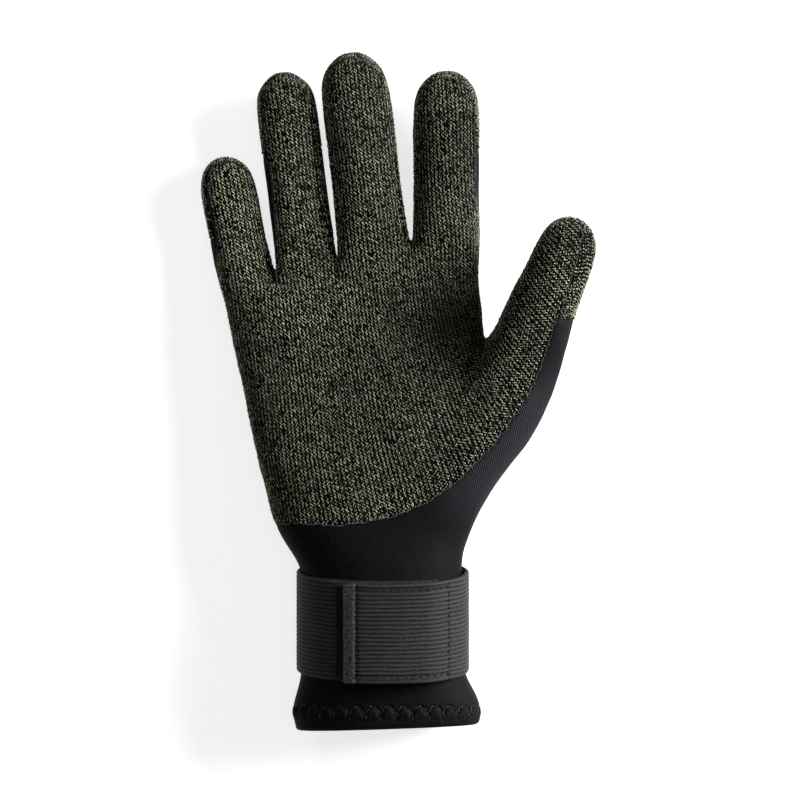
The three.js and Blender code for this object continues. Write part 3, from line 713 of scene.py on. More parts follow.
def addFinger(finger, rootRing):
    rings = []
    for r in fingerRings:
        depth = r["depth"] * finger["width"] * glove["fingerDepth"]
        rings.append((r["along"] * finger["straight"], r["width"] * finger["width"], depth))
    tip = finger["width"] * glove["tipRound"]
    _, width, depth = rings[-1]
    for degrees in glove["tipAngles"]:
        cos, sin = turned(degrees)
        rings.append((finger["straight"] + tip * sin, width * cos, depth * cos))
    last = rootRing
    for distance, wide, deep in rings:
        ring = ringAround(fingerMiddle(finger, distance), finger["right"], wide, deep)
        bridge(last, ring)
        last = ring
    closeTip(last, addPoint(*fingerMiddle(finger, finger["straight"] + tip)))


def thumbFrame(r, beyond):
    cos, sin = turned(r["lean"])
    y = heel + r["along"] * thumb["reach"]
    middle = np.array((r["across"] * thumb["spread"], y, r["height"] * thumb["rise"]))
    return middle + np.array((sin, cos, 0)) * beyond, np.array((cos, -sin, 0))


def addThumb(rootRing):
    rings = [(r, 0, 1) for r in thumbRings]
    for degrees in glove["tipAngles"]:
        cos, sin = turned(degrees)
        rings.append((thumbRings[-1], thumb["tipRound"] * sin, cos))
    last = rootRing
    for r, beyond, shrink in rings:
        wide, deep = r["width"] * thumb["width"] * shrink, r["depth"] * thumb["depth"] * shrink
        ring = ringAround(*thumbFrame(r, beyond), wide, deep)
        bridge(last, ring)
        last = ring
    closeTip(last, addPoint(*thumbFrame(thumbRings[-1], thumb["tipRound"])[0]))


def fingerRoots():
    webs = [
        addPoint(end[0], end[1], fingerHeight(fingers[min(i, 3)], end[1]))
        for i, end in enumerate(forkEnds)
    ]
    lists = {1: [], -1: []}
    for side, made in lists.items():
        for j in range(9):
            i = j // 2
            finger = fingers[min(i, 3)]
            atFork = j % 2 == 0
            outer = j in (0, 8)
            place = (forkEnds[i] if atFork else finger["root"]).copy()
            if outer:
                place += finger["right"] * (-1 if j else 1) * finger["width"] * glove["rootOut"]
            elif atFork:
                place[1] -= glove["forkDip"]
            beside = fingers[i - 1] if atFork and not outer else finger
            deep = (finger["width"] + beside["width"]) / 2 * glove["fingerDepth"] * glove["rootSwell"] / 2
            deep *= glove["sideDeep"] if outer else glove["forkDeep"] if atFork else 1
            made.append(addPoint(place[0], place[1], fingerHeight(finger, place[1]) + side * deep))
    return {"front": lists[1], "back": lists[-1], "left": webs[0], "right": webs[4], "webs": webs}


def buildCage():
    placeFingers()
    row = addRow(handRows[0], zones["cuff"], handColumns)
    for r in handRows[1:]:
        following = addRow(r, zones[r["zone"]], handColumns)
        bridge(loopOf(row), loopOf(following))
        row = following
    web = addPoint(
        thumbFork["across"] * glove["width"],
        heel + thumbFork["along"] * glove["palm"],
        thumbFork["height"] * glove["depth"],
    )
    front, back = row["front"], row["back"]
    addThumb([front[9], front[10], row["right"], back[10], back[9], back[8], web, front[8]])
    row = {"front": front[:9], "back": back[:9], "left": row["left"], "right": web}
    for r in palmRows:
        following = addRow(r, zones["palm"], palmColumns)
        bridge(loopOf(row), loopOf(following))
        row = following
    roots = fingerRoots()
    bridge(loopOf(row), loopOf(roots))
    for i, finger in enumerate(fingers):
        f, b, webs, j = roots["front"], roots["back"], roots["webs"], 2 * i
        addFinger(finger, [f[j + 1], f[j + 2], webs[i + 1], b[j + 2], b[j + 1], b[j], webs[i], f[j]])


fitRounds = 14


# Moves the cage until its rounded skin passes through the places that were named
def fitCage():
    target = np.array(cage["points"])
    faces = np.array(cage["faces"])
    count = len(target)
    valence = np.bincount(faces.ravel(), minlength=count)
    ends = np.stack((faces, np.roll(faces, -1, axis=1)), axis=2).reshape(-1, 2)
    ends.sort(axis=1)
    edges, uses = np.unique(ends, axis=0, return_counts=True)
    openEdges = edges[uses == 1]
    isOpen = np.zeros(count, bool)
    isOpen[openEdges.ravel()] = True

    def spread(points, pairs):
        total = np.zeros((count, 3))
        np.add.at(total, pairs[:, 0], points[pairs[:, 1]])
        np.add.at(total, pairs[:, 1], points[pairs[:, 0]])
        return total

    across = np.concatenate([np.stack((faces[:, k], faces[:, (k + 2) % 4]), axis=1) for k in range(2)])
    points = target.copy()
    n = valence[:, None]
    for _ in range(fitRounds):
        smooth = (n * n * points + 4 * spread(points, edges) + spread(points, across)) / (n * (n + 5))
        smooth[isOpen] = ((4 * points + spread(points, openEdges)) / 6)[isOpen]
        points += target - smooth
    return points


def roundedSkin(points, level):
    mesh = bpy.data.meshes.new("skin")
    mesh.from_pydata(points.tolist(), [], cage["faces"])
    skin = bpy.data.objects.new("skin", mesh)
    scene.collection.objects.link(skin)
    smooth = skin.modifiers.new("rounding", "SUBSURF")
    smooth.levels = level
    smooth.boundary_smooth = "ALL"
    smooth.use_limit_surface = True
    depsgraph = bpy.context.evaluated_depsgraph_get()
    done = skin.evaluated_get(depsgraph).to_mesh()
    place = np.empty(len(done.vertices) * 3)
    done.vertices.foreach_get("co", place)
    corners = np.empty(len(done.loops), int)
    done.loops.foreach_get("vertex_index", corners)
    bpy.data.objects.remove(skin)
    return place.reshape(-1, 3), corners.reshape(-1, 4)


strapSizes = {
    "thickness": 1.4,
    "layer": 0.35,
    "patch": 0.9,
    "patchMargin": 1.5,
    "tilt": 0.18,
    "starts": 36,
    "leaves": 360,
    "lands": 408,
    "ends": 489,
    "loopPatch": (50, 137),
    "hookPatch": (58, 124),
    "rib": 1.7,
    "ribHeight": 0.36,
    "wavy": 0.2,
    "foldLong": 4.5,
    "foldThick": 0.7,
    "pinch": 0.5,  # how deep the rows of stitches pull the webbing in
    "ribRound": 0.55,
    "onFold": 0.3,  # share of a rib's height that is left on the folded end
    "rowWide": 0.7,
    "endRowWide": 0.5,
    "edgeRound": 0.35,
    # how narrow the painted light on the ribs' tops is
    "litTopsOnly": 2.4,
    # painted shade of the pinched rows of stitches, and how much of it
    "pinchShade": 0.55,
    "pinchShadeMix": 0.8,
    "rows": 340,
    "columnsInRib": 6,
}
strapFloor = strapSizes["thickness"] + strapSizes["layer"]


# Height of what the glove rests on: the surface, or the strap below the wrist
def floorAt(y):
    risen = smoothstep(y, 0.3 * glove["cuff"], glove["cuff"])
    fallen = smoothstep(y, strapTop + 0.45 * glove["wrist"], heel)
    return strapFloor * (risen - fallen)


# Presses the skin flat where it rests, with a soft roll at the flat's edge
def pressed(points, roll):
    above = (points[:, 2] - floorAt(points[:, 1])) / roll
    lifted = np.where(above > 20, above, np.log1p(np.exp(np.minimum(above, 20))))
    made = points.copy()
    made[:, 2] = floorAt(points[:, 1]) + lifted * roll
    return made


def normalsOf(points, faces):
    total = np.zeros_like(points)
    a, b, c, d = (points[faces[:, k]] for k in range(4))
    crossed = np.cross(c - a, d - b)
    for k in range(4):
        np.add.at(total, faces[:, k], crossed)
    return unit(total)


# Hollows and folds of the palm side: their middle, half their length and width, and their depth
# in millimetres, and which way they run in degrees from +Y towards the little finger
folds = table(
    "x y long wide lean deep",
    (36.0, 149.0, 11.0, 3.2, -33.0, 2.2),
    (24.0, 171.0, 22.0, 11.0, 8.0, 2.0),
    (-31.0, 176.0, 9.0, 3.0, 12.0, 0.8),
    (-4.0, 181.0, 9.0, 3.0, 8.0, 0.9),
    (22.0, 186.0, 9.0, 3.4, -60.0, 0.9),
    (44.0, 120.0, 14.0, 2.6, -42.0, 0.7),
    (-38.0, 96.0, 10.0, 3.0, -70.0, 0.5),
)


def folded(points, normals):
    facing = smoothstep(normals[:, 2], 0.1, 0.7)
    total = np.zeros(len(points))
    for fold in folds:
        cos, sin = turned(fold["lean"])
        x, y = points[:, 0] - fold["x"], points[:, 1] - fold["y"]
        along, across = (y * cos - x * sin) / fold["long"], (x * cos + y * sin) / fold["wide"]
        total += fold["deep"] * np.exp(-along ** 2 - across ** 2)
    return points - normals * (total * facing)[:, None]


# Gentle unevenness of a soft shell, along its normals
def softened(points, normals):
    size = glove["unevenSize"]
    lumps = [noise.noise(Vector(p) / size) + 0.5 * noise.noise(Vector(p) * 2.3 / size) for p in points]
    return points + normals * (np.array(lumps) * glove["uneven"])[:, None]


buildCage()
fitted = fitCage()
skinPoints, skinFaces = roundedSkin(fitted, 3)
finePoints, fineFaces = roundedSkin(fitted, 4)
skinPoints = pressed(skinPoints, glove["restRoll"])
finePoints = pressed(finePoints, glove["restRoll"])
skinNormals = normalsOf(skinPoints, skinFaces)
fineNormals = normalsOf(finePoints, fineFaces)
skinPoints = pressed(softened(folded(skinPoints, skinNormals), skinNormals), glove["restEdge"])
finePoints = pressed(softened(finePoints, fineNormals), glove["restEdge"])
lowest = np.array((skinPoints[:, 0].min(), skinPoints[:, 1].min() - glove["lip"], 0))
highest = np.array((skinPoints[:, 0].max(), skinPoints[:, 1].max(), 0))
frameShift = -(lowest + highest) / 2
print("skin rounded:", len(skinFaces), "and", len(fineFaces), "faces, shift", frameShift.round(3))

# Seam between the palm panel and the back panel


def sidePlace(row):
    start, long = zones[row.get("zone", "palm")]
    return start + row["left"] * long, row["leftSide"] * glove["depth"]


sideHeights = [sidePlace(r) for r in handRows[6:] + palmRows]
sideHeights += [(forkEnds[0][1], float(fingerHeight(fingers[1], forkEnds[0][1]))), (2 * fork, 0)]
thumbHeights = [(heel + r["right"] * glove["palm"], r["rightSide"] * glove["depth"]) for r in handRows[7:]]
thumbHeights += [(heel + r["along"] * thumb["reach"], r["height"] * thumb["rise"]) for r in thumbRings]
thumbHeights += [(2 * fork, thumb["rise"])]


# How far the seam lies above the middle of the nearest finger's depth
def seamLift(x, y):
    nearest = np.full(len(x), np.inf)
    lift = np.zeros(len(x))
    for finger in fingers:
        offset = np.stack((x, y), axis=1) - finger["root"][:2]
        across = offset @ finger["right"][:2] / (finger["width"] / 2)
        reach = offset @ finger["along"][:2]
        side = lerp(finger["seamLeft"], finger["seamRight"], np.clip(across, -1, 1) / 2 + 0.5)
        end = finger["straight"] + glove["tipRound"] * finger["width"]
        tip = smoothstep(reach, finger["straight"], end)
        low, high = (heel + finger[key] * glove["palm"] for key in ("seamFrom", "seamFull"))
        own = lerp(side, finger["seamTip"], tip) * finger["width"] * smoothstep(y, low, high)
        closer = np.abs(across) < nearest
        lift = np.where(closer, own, lift)
        nearest = np.where(closer, np.abs(across), nearest)
    return lift


def seamHeight(x, y):
    ys, heights = zip(*sideHeights)
    level = np.where(y < forkEnds[0][1], np.interp(y, ys, heights), fingerHeight(fingers[1], y))
    hand = level + seamLift(x, y)
    opened = smoothstep(y, heel, heel + thumbFork["along"] * glove["palm"])
    start = opened * indexSide["across"] * glove["width"]
    thumbPart = smoothstep(x, start, thumbFork["across"] * glove["width"] + glove["forkDip"])
    ys, heights = zip(*thumbHeights)
    return lerp(hand, np.interp(y, ys, heights), thumbPart)


def splineThrough(points, steps):
    p = np.array(points)
    p = np.vstack((p[0], p, p[-1]))
    made = []
    for i in range(1, len(p) - 2):
        t = np.linspace(0, 1, steps, endpoint=False)[:, None]
        v0, v1 = (p[i + 1] - p[i - 1]) / 2, (p[i + 2] - p[i]) / 2
        cubic = (2 * p[i] - 2 * p[i + 1] + v0 + v1) * t ** 3
        made.append(cubic + (-3 * p[i] + 3 * p[i + 1] - 2 * v0 - v1) * t ** 2 + v0 * t + p[i])
    return np.vstack((*made, p[-1:]))


def edgeLine():
    shares = np.array(edgeShares) * (thumb["spread"], thumb["reach"]) + (0, heel)
    line = splineThrough(shares, edgeSteps)
    return np.vstack((line, (line[-1][0], 4 * heel)))


# Signed distance from a line on the palm side, positive to its left
def beyondLine(line, x, y):
    best = np.full(len(x), 1e9)
    sign = np.ones(len(x))
    for a, b in zip(line[:-1], line[1:]):
        d = b - a
        t = np.clip(((x - a[0]) * d[0] + (y - a[1]) * d[1]) / (d @ d), 0, 1)
        dx, dy = x - a[0] - t * d[0], y - a[1] - t * d[1]
        away = np.hypot(dx, dy)
        closer = away < best - 1e-9
        best = np.where(closer, away, best)
        sign = np.where(closer, np.sign(d[0] * dy - d[1] * dx), sign)
    return best * sign


def palmSide(points):
    x, y, z = points.T
    return np.minimum(z - seamHeight(x, y), beyondLine(edgeLine(), x, y))


# Keeps the part of a mesh where value is above a level
def clipped(mesh, value, level):
    value = value - level
    inside = value >= 0
    faces, cuts = [], {}
    rows = []

    def cut(a, b):
        key = (a, b) if a < b else (b, a)
        if key not in cuts:
            share = value[key[0]] / (value[key[0]] - value[key[1]])
            cuts[key] = len(mesh["points"]) + len(rows)
            rows.append((key[0], key[1], share))
        return cuts[key]

    for face in mesh["faces"]:
        flags = [inside[i] for i in face]
        if all(flags):
            faces.append(face)
        elif any(flags):
            made = []
            for k, point in enumerate(face):
                following = face[(k + 1) % len(face)]
                if inside[point]:
                    made.append(point)
                if inside[point] != inside[following]:
                    made.append(cut(point, following))
            faces.append(tuple(made))
    a, b, share = (np.array(column) for column in zip(*rows))
    share = share[:, None]
    points = np.vstack((mesh["points"], lerp(mesh["points"][a], mesh["points"][b], share)))
    normals = np.vstack((mesh["normals"], lerp(mesh["normals"][a], mesh["normals"][b], share)))
    used = np.unique(np.concatenate([np.array(f) for f in faces]))
    renumber = np.full(len(points), -1)
    renumber[used] = np.arange(len(used))
    faces = [tuple(int(i) for i in renumber[list(f)]) for f in faces]
    return {"points": points[used], "normals": normals[used], "faces": faces}


def trianglesOf(faces):
    made = [(f[0], f[k], f[k + 1]) for f in faces for k in range(1, len(f) - 1)]
    return np.array(made)


def boundaryLoops(faces):
    directed = {}  # a dictionary keeps its order, so the loops come in the same order each run
    for face in faces:
        for k, point in enumerate(face):
            directed[(point, face[(k + 1) % len(face)])] = True
    following = {a: b for a, b in directed if (b, a) not in directed}
    loops = []
    while following:
        start = next(iter(following))
        loop = [start]
        while loop[-1] in following:
            loop.append(following.pop(loop[-1]))
        loops.append(loop[:-1] if loop[-1] == start else loop)
    return loops


clothRounds = 500
clothSettled = 1e-7


# Lays cloth coordinates over a panel: X across its columns of stitches and Y along them, both in
# millimetres, with the columns in the wanted directions and as little stretch as the shape allows
def layCloth(mesh, directionAt):
    points, tri = mesh["points"], trianglesOf(mesh["faces"])
    a, b, c = (points[tri[:, k]] for k in range(3))
    crossed = np.cross(b - a, c - a)
    double = np.linalg.norm(crossed, axis=1)
    keep = double > 1e-6
    tri, a, b, c, crossed, double = (v[keep] for v in (tri, a, b, c, crossed, double))
    normal = crossed / double[:, None]
    gradient = [np.cross(normal, side) / double[:, None] for side in (c - b, a - c, b - a)]
    along = alongSkin(directionAt((a + b + c) / 3, normal), normal)
    across = np.cross(along, normal)
    count = len(points)
    area = double / 2
    rows = np.concatenate([tri[:, i] for i in range(3) for j in range(3)])
    cols = np.concatenate([tri[:, j] for i in range(3) for j in range(3)])
    parts = [area * np.sum(gradient[i] * gradient[j], axis=1) for i in range(3) for j in range(3)]
    parts = np.concatenate(parts)
    diagonal = np.bincount(rows[rows == cols], parts[rows == cols], count) + 1e-6
    made = []
    for wanted in (across, along):
        right = np.zeros(count)
        for i in range(3):
            right += np.bincount(tri[:, i], area * np.sum(gradient[i] * wanted, axis=1), count)
        guess = points[:, 0 if wanted is across else 1].copy()
        rest = right - np.bincount(rows, parts * guess[cols], count)
        scaled = rest / diagonal
        step, size = scaled.copy(), rest @ scaled
        for _ in range(clothRounds):
            pushed = np.bincount(rows, parts * step[cols], count)
            reach = size / (step @ pushed)
            guess += reach * step
            rest -= reach * pushed
            scaled = rest / diagonal
            newSize = rest @ scaled
            if newSize < clothSettled:
                break
            step = scaled + step * newSize / size
            size = newSize
        made.append(guess)
    mesh["cloth"] = np.stack((*made, np.zeros(count)), axis=1)
    mesh["along"], mesh["triangles"] = along, tri


# Directions of the knit's columns by place: leans from +Y in degrees, positive towards the little finger
palmLeans = table(
    "x y degrees",
    (0, 128, 6), (-34, 124, 3), (2, 172, 4), (4, 100, 13), (36, 120, 33), (50, 142, 40),
    (64, 170, 47), (70, 200, 47), (-57, 196, 11), (-34, 222, 8), (-7, 240, 7), (26, 232, 0.5),
    (28, 190, 2),
)
capSizes = {
    "long": 31.0,
    "thumbLong": 40.4,
    "turn": 0.6,  # how much a cap's columns keep to the finger's length past its tip
    "spacing": 0.84,  # the caps' knit is finer by this share
}
# Ribs of the neoprene show best at the thumb's side, where the light grazes them, and fade towards the wrist
# and on the thumb; their lighter colour is painted sheen
ribSizes = {
    "lean": 33.0,  # degrees
    "rise": 0.7,  # how far the ribs slant up the glove's side
    "fadeFrom": 92.0,
    "fadeTo": 125.0,
    "thumbFrom": 122.0,
    "thumbTo": 150.0,
    "onThumb": 0.3,
}


def ribStrength(x, y):
    shown = smoothstep(y + 0.5 * x, ribSizes["fadeFrom"], ribSizes["fadeTo"])
    return shown * lerp(1.0, ribSizes["onThumb"], smoothstep(y, ribSizes["thumbFrom"], ribSizes["thumbTo"]))


def leaning(leans):
    def directionAt(places, normals):
        total = np.zeros(len(places))
        turn = np.zeros(len(places))
        for r in leans:
            weight = 1 / (np.hypot(places[:, 0] - r["x"], places[:, 1] - r["y"]) + 4) ** 3
            total += weight
            turn += weight * r["degrees"]
        angle = np.radians(turn / total)
        return np.stack((-np.sin(angle), np.cos(angle), np.zeros(len(places))), axis=1)
    return directionAt


# The columns of a cap run up its back and on over the fingertip
def overTip(right, straight):
    def directionAt(places, normals):
        return np.cross(right, normals) + capSizes["turn"] * straight
    return directionAt


def toFrame(points):
    return (points + frameShift) * mm


# Columns and courses of a sheet of points: X runs with its rows and Y with its columns
def clothGrid(rows, columns):
    cloth = np.zeros((len(rows), len(columns), 3))
    cloth[:, :, 0] = rows[:, None]
    cloth[:, :, 1] = columns[None, :]
    return cloth


def addObject(name, points, faces, material, nodes=(), attributes=None):
    mesh = bpy.data.meshes.new(name)
    mesh.from_pydata(toFrame(points).tolist(), [], faces)
    mesh.polygons.foreach_set("use_smooth", [True] * len(mesh.polygons))
    for key, values in (attributes or {}).items():
        values = np.asarray(values, np.float32)
        kind = "FLOAT_VECTOR" if values.ndim == 2 else "FLOAT"
        attribute = mesh.attributes.new(key, kind, "POINT")
        attribute.data.foreach_set("vector" if values.ndim == 2 else "value", values.ravel())
    mesh.materials.append(material)
    mesh.update()
    made = bpy.data.objects.new(name, mesh)
    scene.collection.objects.link(made)
    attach(made, "root")
    if nodes:
        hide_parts(*nodes)
    return made


# A panel with its wall: outer face, inner face and the cut edges between them
def addPanel(name, mesh, material, nodes):
    sunk = glove["seamDip"] * np.exp(-np.abs(mesh["edge"]) / glove["seamRoll"])
    points = mesh["points"] - mesh["normals"] * sunk[:, None]
    inner = mesh["points"] - mesh["normals"] * glove["wall"]
    inner[:, 2] = np.maximum(inner[:, 2], floorAt(inner[:, 1]) + glove["wall"] * 0.9)
    count = len(points)
    faces = mesh["faces"] + [tuple(i + count for i in face[::-1]) for face in mesh["faces"]]
    for loop in boundaryLoops(mesh["faces"]):
        for k, point in enumerate(loop):
            following = loop[(k + 1) % len(loop)]
            faces.append((following, point, point + count, following + count))
    attributes = {"cloth": np.vstack((mesh["cloth"], mesh["cloth"]))}
    if "ribbed" in mesh:
        attributes["ribbed"] = np.concatenate((mesh["ribbed"], mesh["ribbed"]))
    mesh["outer"] = points
    return addObject(name, np.vstack((points, inner)), faces, material, nodes, attributes)


# The knit's yarn: short strands over the ground, one for each stitch leg

yarn = {
    "column": 0.78,  # a column of stitches is two columns of strands
    "closer": 0.15,  # how much nearer to each other the two stand
    "course": 1.4,
    "long": 1.2,
    "wide": 0.175,
    "high": 0.19,
    "arch": 0.16,
    "slant": 31.0,
    "slantSpread": 10.0,
    "sideSpread": 0.09,
    "turned": 0.1,  # share of the strands that lean the other way
    "skipped": 0.04,  # share that lies hidden below the others
    "clear": 0.45,  # from the panel's edge
    "splitAt": 158.0,  # the hand's strands are one piece and the fingers' another
    "palmJitter": 0.13,
    "capJitter": 0.22,
    "bright": 0.88,  # share of the strands that aren't black
    "black": 0.18,  # tone of the others, as a share
    "toneShape": (3.2, 4.1),
    "legTones": (1.1, 0.9),  # of the legs that lean right and left
    "legLengths": (1.1, 0.82),
    "thickSpread": (0.8, 1.2),
    "longSpread": (0.75, 1.2),
    "archSpread": (0.7, 1.2),
    "patch": 0.07,  # tone of patches of darker and brighter knit
    "patchFine": 0.11,
    "columnsInFace": 7,  # the most that one triangle of the skin can hold
    "coursesInFace": 10,
}

# Painted light and shade on the knit: how much brighter its strands are painted where light falls on them,
# and darker in the hollows where shade falls, at each spot's middle
paintedLightSpots = table(
    "x y reach tone",
    (-63.0, 205.0, 28.0, 1.6),
    (-38.0, 228.0, 18.0, 1.15),
    (24.0, 226.0, 22.0, 0.72),
    (-12.0, 131.0, 28.0, 0.74),
    (26.0, 163.0, 20.0, 0.08),
    (37.0, 150.0, 9.0, 0.6),
    (-26.0, 236.0, 13.0, 0.85),
    (-2.0, 176.0, 9.0, 0.8),
    (0.0, 215.0, 13.0, 1.15),
    (79.0, 181.0, 9.0, 1.5),
)


def paintedLightTone(places):
    tone = np.ones(len(places))
    for spot in paintedLightSpots:
        away = np.hypot(places[:, 0] - spot["x"], places[:, 1] - spot["y"]) / spot["reach"]
        tone *= lerp(1, spot["tone"], np.exp(-away ** 2))
    return tone


# A grain's points and faces: an end, two rings of four points and the other end
def grainTemplate():
    points = [(-1, 0, 0)]
    for t in (-0.5, 0.5):
        points += [(t, *turned(90 * k)) for k in range(4)]
    points.append((1, 0, 0))
    faces = [(0, 1 + (k + 1) % 4, 1 + k) for k in range(4)]
    faces += [(1 + k, 1 + (k + 1) % 4, 5 + (k + 1) % 4, 5 + k) for k in range(4)]
    faces += [(9, 5 + k, 5 + (k + 1) % 4) for k in range(4)]
    return np.array(points), faces


# One small grain for each place, with its own direction, length and thickness
def grains(places, directions, normals, long, wide, high, arch):
    template, faces = grainTemplate()
    sides = np.cross(normals, directions)
    t, a, b = (template[:, k][None, :, None] for k in range(3))
    lift = (1 - 1.5 * template[:, 0] ** 2)[None, :, None] * arch[:, None, None]
    points = (
        places[:, None, :]
        + directions[:, None, :] * t * (long / 2)[:, None, None]
        + sides[:, None, :] * a * wide[:, None, None]
        + normals[:, None, :] * (b * high[:, None, None] + lift)
    )
    count = len(template)
    made = []
    for face in faces:
        corners = np.array(face)[None, :] + (np.arange(len(places)) * count)[:, None]
        made += corners.tolist()
    return points.reshape(-1, 3), [tuple(f) for f in made]


def stitchPlaces(mesh, seed):
    rng = np.random.default_rng(seed)
    tri = mesh["triangles"]
    # every second column of strands stands half a course higher, so counted in half courses
    cloth = mesh["cloth"][:, :2] / (yarn["column"], yarn["course"] / 2)
    points, normals, edge = mesh["outer"], mesh["normals"], mesh["edge"]
    corner = cloth[tri]
    low = np.ceil(corner.min(axis=1))
    start = corner[:, 0]
    bx, by = (corner[:, 1] - start).T
    cx, cy = (corner[:, 2] - start).T
    det = bx * cy - cx * by
    det = np.where(np.abs(det) < 1e-9, 1e-9, det)
    found = []
    for i in range(yarn["columnsInFace"]):
        for j in range(yarn["coursesInFace"]):
            column, course = (low + (i, j)).T
            dx, dy = column - start[:, 0], course - start[:, 1]
            s = (dx * cy - cx * dy) / det
            t = (bx * dy - dx * by) / det
            index = np.flatnonzero((s >= 0) & (t >= 0) & (s + t < 1) & ((column + course) % 2 == 0))
            found.append(np.stack((index, column[index], course[index], s[index], t[index]), axis=1))
    found = np.vstack(found)
    _, first = np.unique(found[:, 1:3], axis=0, return_index=True)
    found = found[first]
    index = found[:, 0].astype(int)
    weights = np.stack((1 - found[:, 3] - found[:, 4], found[:, 3], found[:, 4]), axis=1)[:, :, None]
    place = (points[tri[index]] * weights).sum(axis=1)
    normal = unit((normals[tri[index]] * weights).sum(axis=1))
    near = (edge[tri[index]] * weights[:, :, 0]).sum(axis=1)
    clear = (near > yarn["clear"]) & (rng.random(len(near)) > yarn["skipped"])
    column = found[:, 1][clear]
    cloth = (found[:, 1:3] * (yarn["column"], yarn["course"] / 2))[clear]
    return rng, place[clear], normal[clear], mesh["along"][index][clear], column, cloth


def addStrands(name, strands, chosen, material):
    shape = ("place", "direction", "normal", "long", "wide", "high", "arch")
    values = [strands[key][chosen] for key in shape]
    points, faces = grains(*values)
    count = len(values[0])
    attributes = {key: np.repeat(strands[key][chosen], len(points) // count) for key in ("tone", "tint")}
    attributes["cloth"] = points
    addObject(name, points, faces, material, (), attributes)
    print(name, "has", count, "strands")


# The strands of one panel, in one piece or in two: below and above a line across the glove
def addYarn(names, mesh, material, seed, jitter):
    rng, place, normal, along, column, cloth = stitchPlaces(mesh, seed)
    count = len(place)
    along = alongSkin(along, normal)
    across = np.cross(along, normal)
    leg = np.where(column % 2 == 0, 1, -1)
    way = np.where(rng.random(count) < yarn["turned"], -leg, leg)
    turn = np.radians(yarn["slant"] + rng.normal(0, yarn["slantSpread"], count)) * way
    sideways = leg * yarn["closer"] + rng.normal(0, yarn["sideSpread"], count)
    place = place + across * sideways[:, None] + along * rng.normal(0, jitter, count)[:, None]
    thick = rng.uniform(*yarn["thickSpread"], count)
    patches = cloth * yarn["patchFine"]
    patchy = np.array([noise.noise(Vector((u, v, seed))) for u, v in patches])
    tone = rng.beta(*yarn["toneShape"], count) * np.where(way > 0, *yarn["legTones"]) + yarn["patch"] * patchy
    tone = np.where(rng.random(count) < yarn["bright"], tone, yarn["black"] * tone)
    longer = np.where(way > 0, *yarn["legLengths"])
    strands = {
        "place": place,
        "direction": along * np.cos(turn)[:, None] - across * np.sin(turn)[:, None],
        "normal": normal,
        "long": yarn["long"] * longer * rng.uniform(*yarn["longSpread"], count),
        "wide": yarn["wide"] * thick,
        "high": yarn["high"] * thick,
        "arch": yarn["arch"] * rng.uniform(*yarn["archSpread"], count),
        # the strands' own random tone, times the painted light and shade of the spots
        "tone": np.clip(tone * paintedLightTone(place), 0, 1),
        "tint": rng.random(count),
    }
    upper = place[:, 1] > yarn["splitAt"]
    parts = (~upper, upper) if len(names) > 1 else (np.ones(count, bool),)
    for name, chosen in zip(names, parts):
        addStrands(name, strands, chosen, material)


knitGround = knitGroundMaterial()
knitYarn = knitYarnMaterial()
neoprene = neopreneMaterial()
seamThread = threadMaterial("seamThread", (0.042, 0.047, 0.052))
hemThread = threadMaterial("hemThread", (0.024, 0.027, 0.031))
darkThread = threadMaterial("darkThread", (0.0015, 0.0015, 0.0018), 0.8)

fullSkin = {"points": skinPoints, "normals": skinNormals, "faces": [tuple(f) for f in skinFaces.tolist()]}
halfGap = glove["seamGap"] / 2
cuffTop = zones["strap"][0] + handRows[3]["left"] * zones["strap"][1]


def buildPalm():
    panel = clipped(fullSkin, palmSide(fullSkin["points"]), halfGap)
    panel["edge"] = palmSide(panel["points"])
    layCloth(panel, leaning(palmLeans))
    addPanel("palm_knit_panel", panel, knitGround, ["palm_panel"])
    addYarn(("palm_knit_yarn", "finger_knit_yarn"), panel, knitYarn, 11, yarn["palmJitter"])
    return panel


# Regions past a line across the back of each finger and of the thumb: positive inside
def capRegions():
    regions = {}
    for finger in fingers:
        start = finger["straight"] + finger["width"] * glove["tipRound"] - capSizes["long"]
        middle = finger["root"] + finger["along"] * start
        regions[finger["name"]] = (middle, finger["along"], finger["right"], finger["width"] / 2 + 1)
    end = thumbFrame(thumbRings[-1], thumb["tipRound"])[0]
    between = (indexSide["across"] + thumbFork["across"]) / 2 * glove["width"] + glove["wall"]
    half = end[0] + thumb["width"] / 2 - between
    middle = np.array((between + half, end[1] - capSizes["thumbLong"], 0))
    regions["thumb"] = (middle, np.array((0, 1.0, 0)), np.array((1.0, 0, 0)), half)
    return regions


def pastLine(points, region):
    middle, along, right, half = region
    offset = points - middle
    return np.minimum(offset @ along, half - np.abs(offset @ right))


def buildBack():
    back = clipped(fullSkin, -palmSide(fullSkin["points"]), halfGap)
    caps = {}
    regions = capRegions()
    for name, region in regions.items():
        cap = clipped(back, pastLine(back["points"], region), halfGap)
        cap["edge"] = np.minimum(-palmSide(cap["points"]), pastLine(cap["points"], region))
        caps[name] = cap
        back = clipped(back, -pastLine(back["points"], region), halfGap)
    ways = {finger["name"]: overTip(finger["right"], finger["along"]) for finger in fingers}
    ways["thumb"] = leaning(palmLeans)
    for name, cap in caps.items():
        layCloth(cap, ways[name])
        cap["cloth"] /= capSizes["spacing"]
        addPanel(f"{name}_cap_panel", cap, knitGround, [f"{name}_tip_cap"])
        addYarn((f"{name}_cap_yarn",), cap, knitYarn, 20 + len(name), yarn["capJitter"])
    back = clipped(back, back["points"][:, 1], cuffTop)
    back["edge"] = -palmSide(back["points"])
    for region in regions.values():
        back["edge"] = np.minimum(back["edge"], np.abs(pastLine(back["points"], region)))
    cos, sin = turned(ribSizes["lean"])
    x, y, z = back["points"].T
    back["cloth"] = np.stack((x * cos + y * sin - z * ribSizes["rise"], y * cos - x * sin, 0 * x), axis=1)
    back["ribbed"] = ribStrength(x, y)
    addPanel("back_neoprene_panel", back, neoprene, ["back_panel"])
    return caps


palmPanel = buildPalm()
capPanels = buildBack()
print("panels ready")

# Stitches along the seams

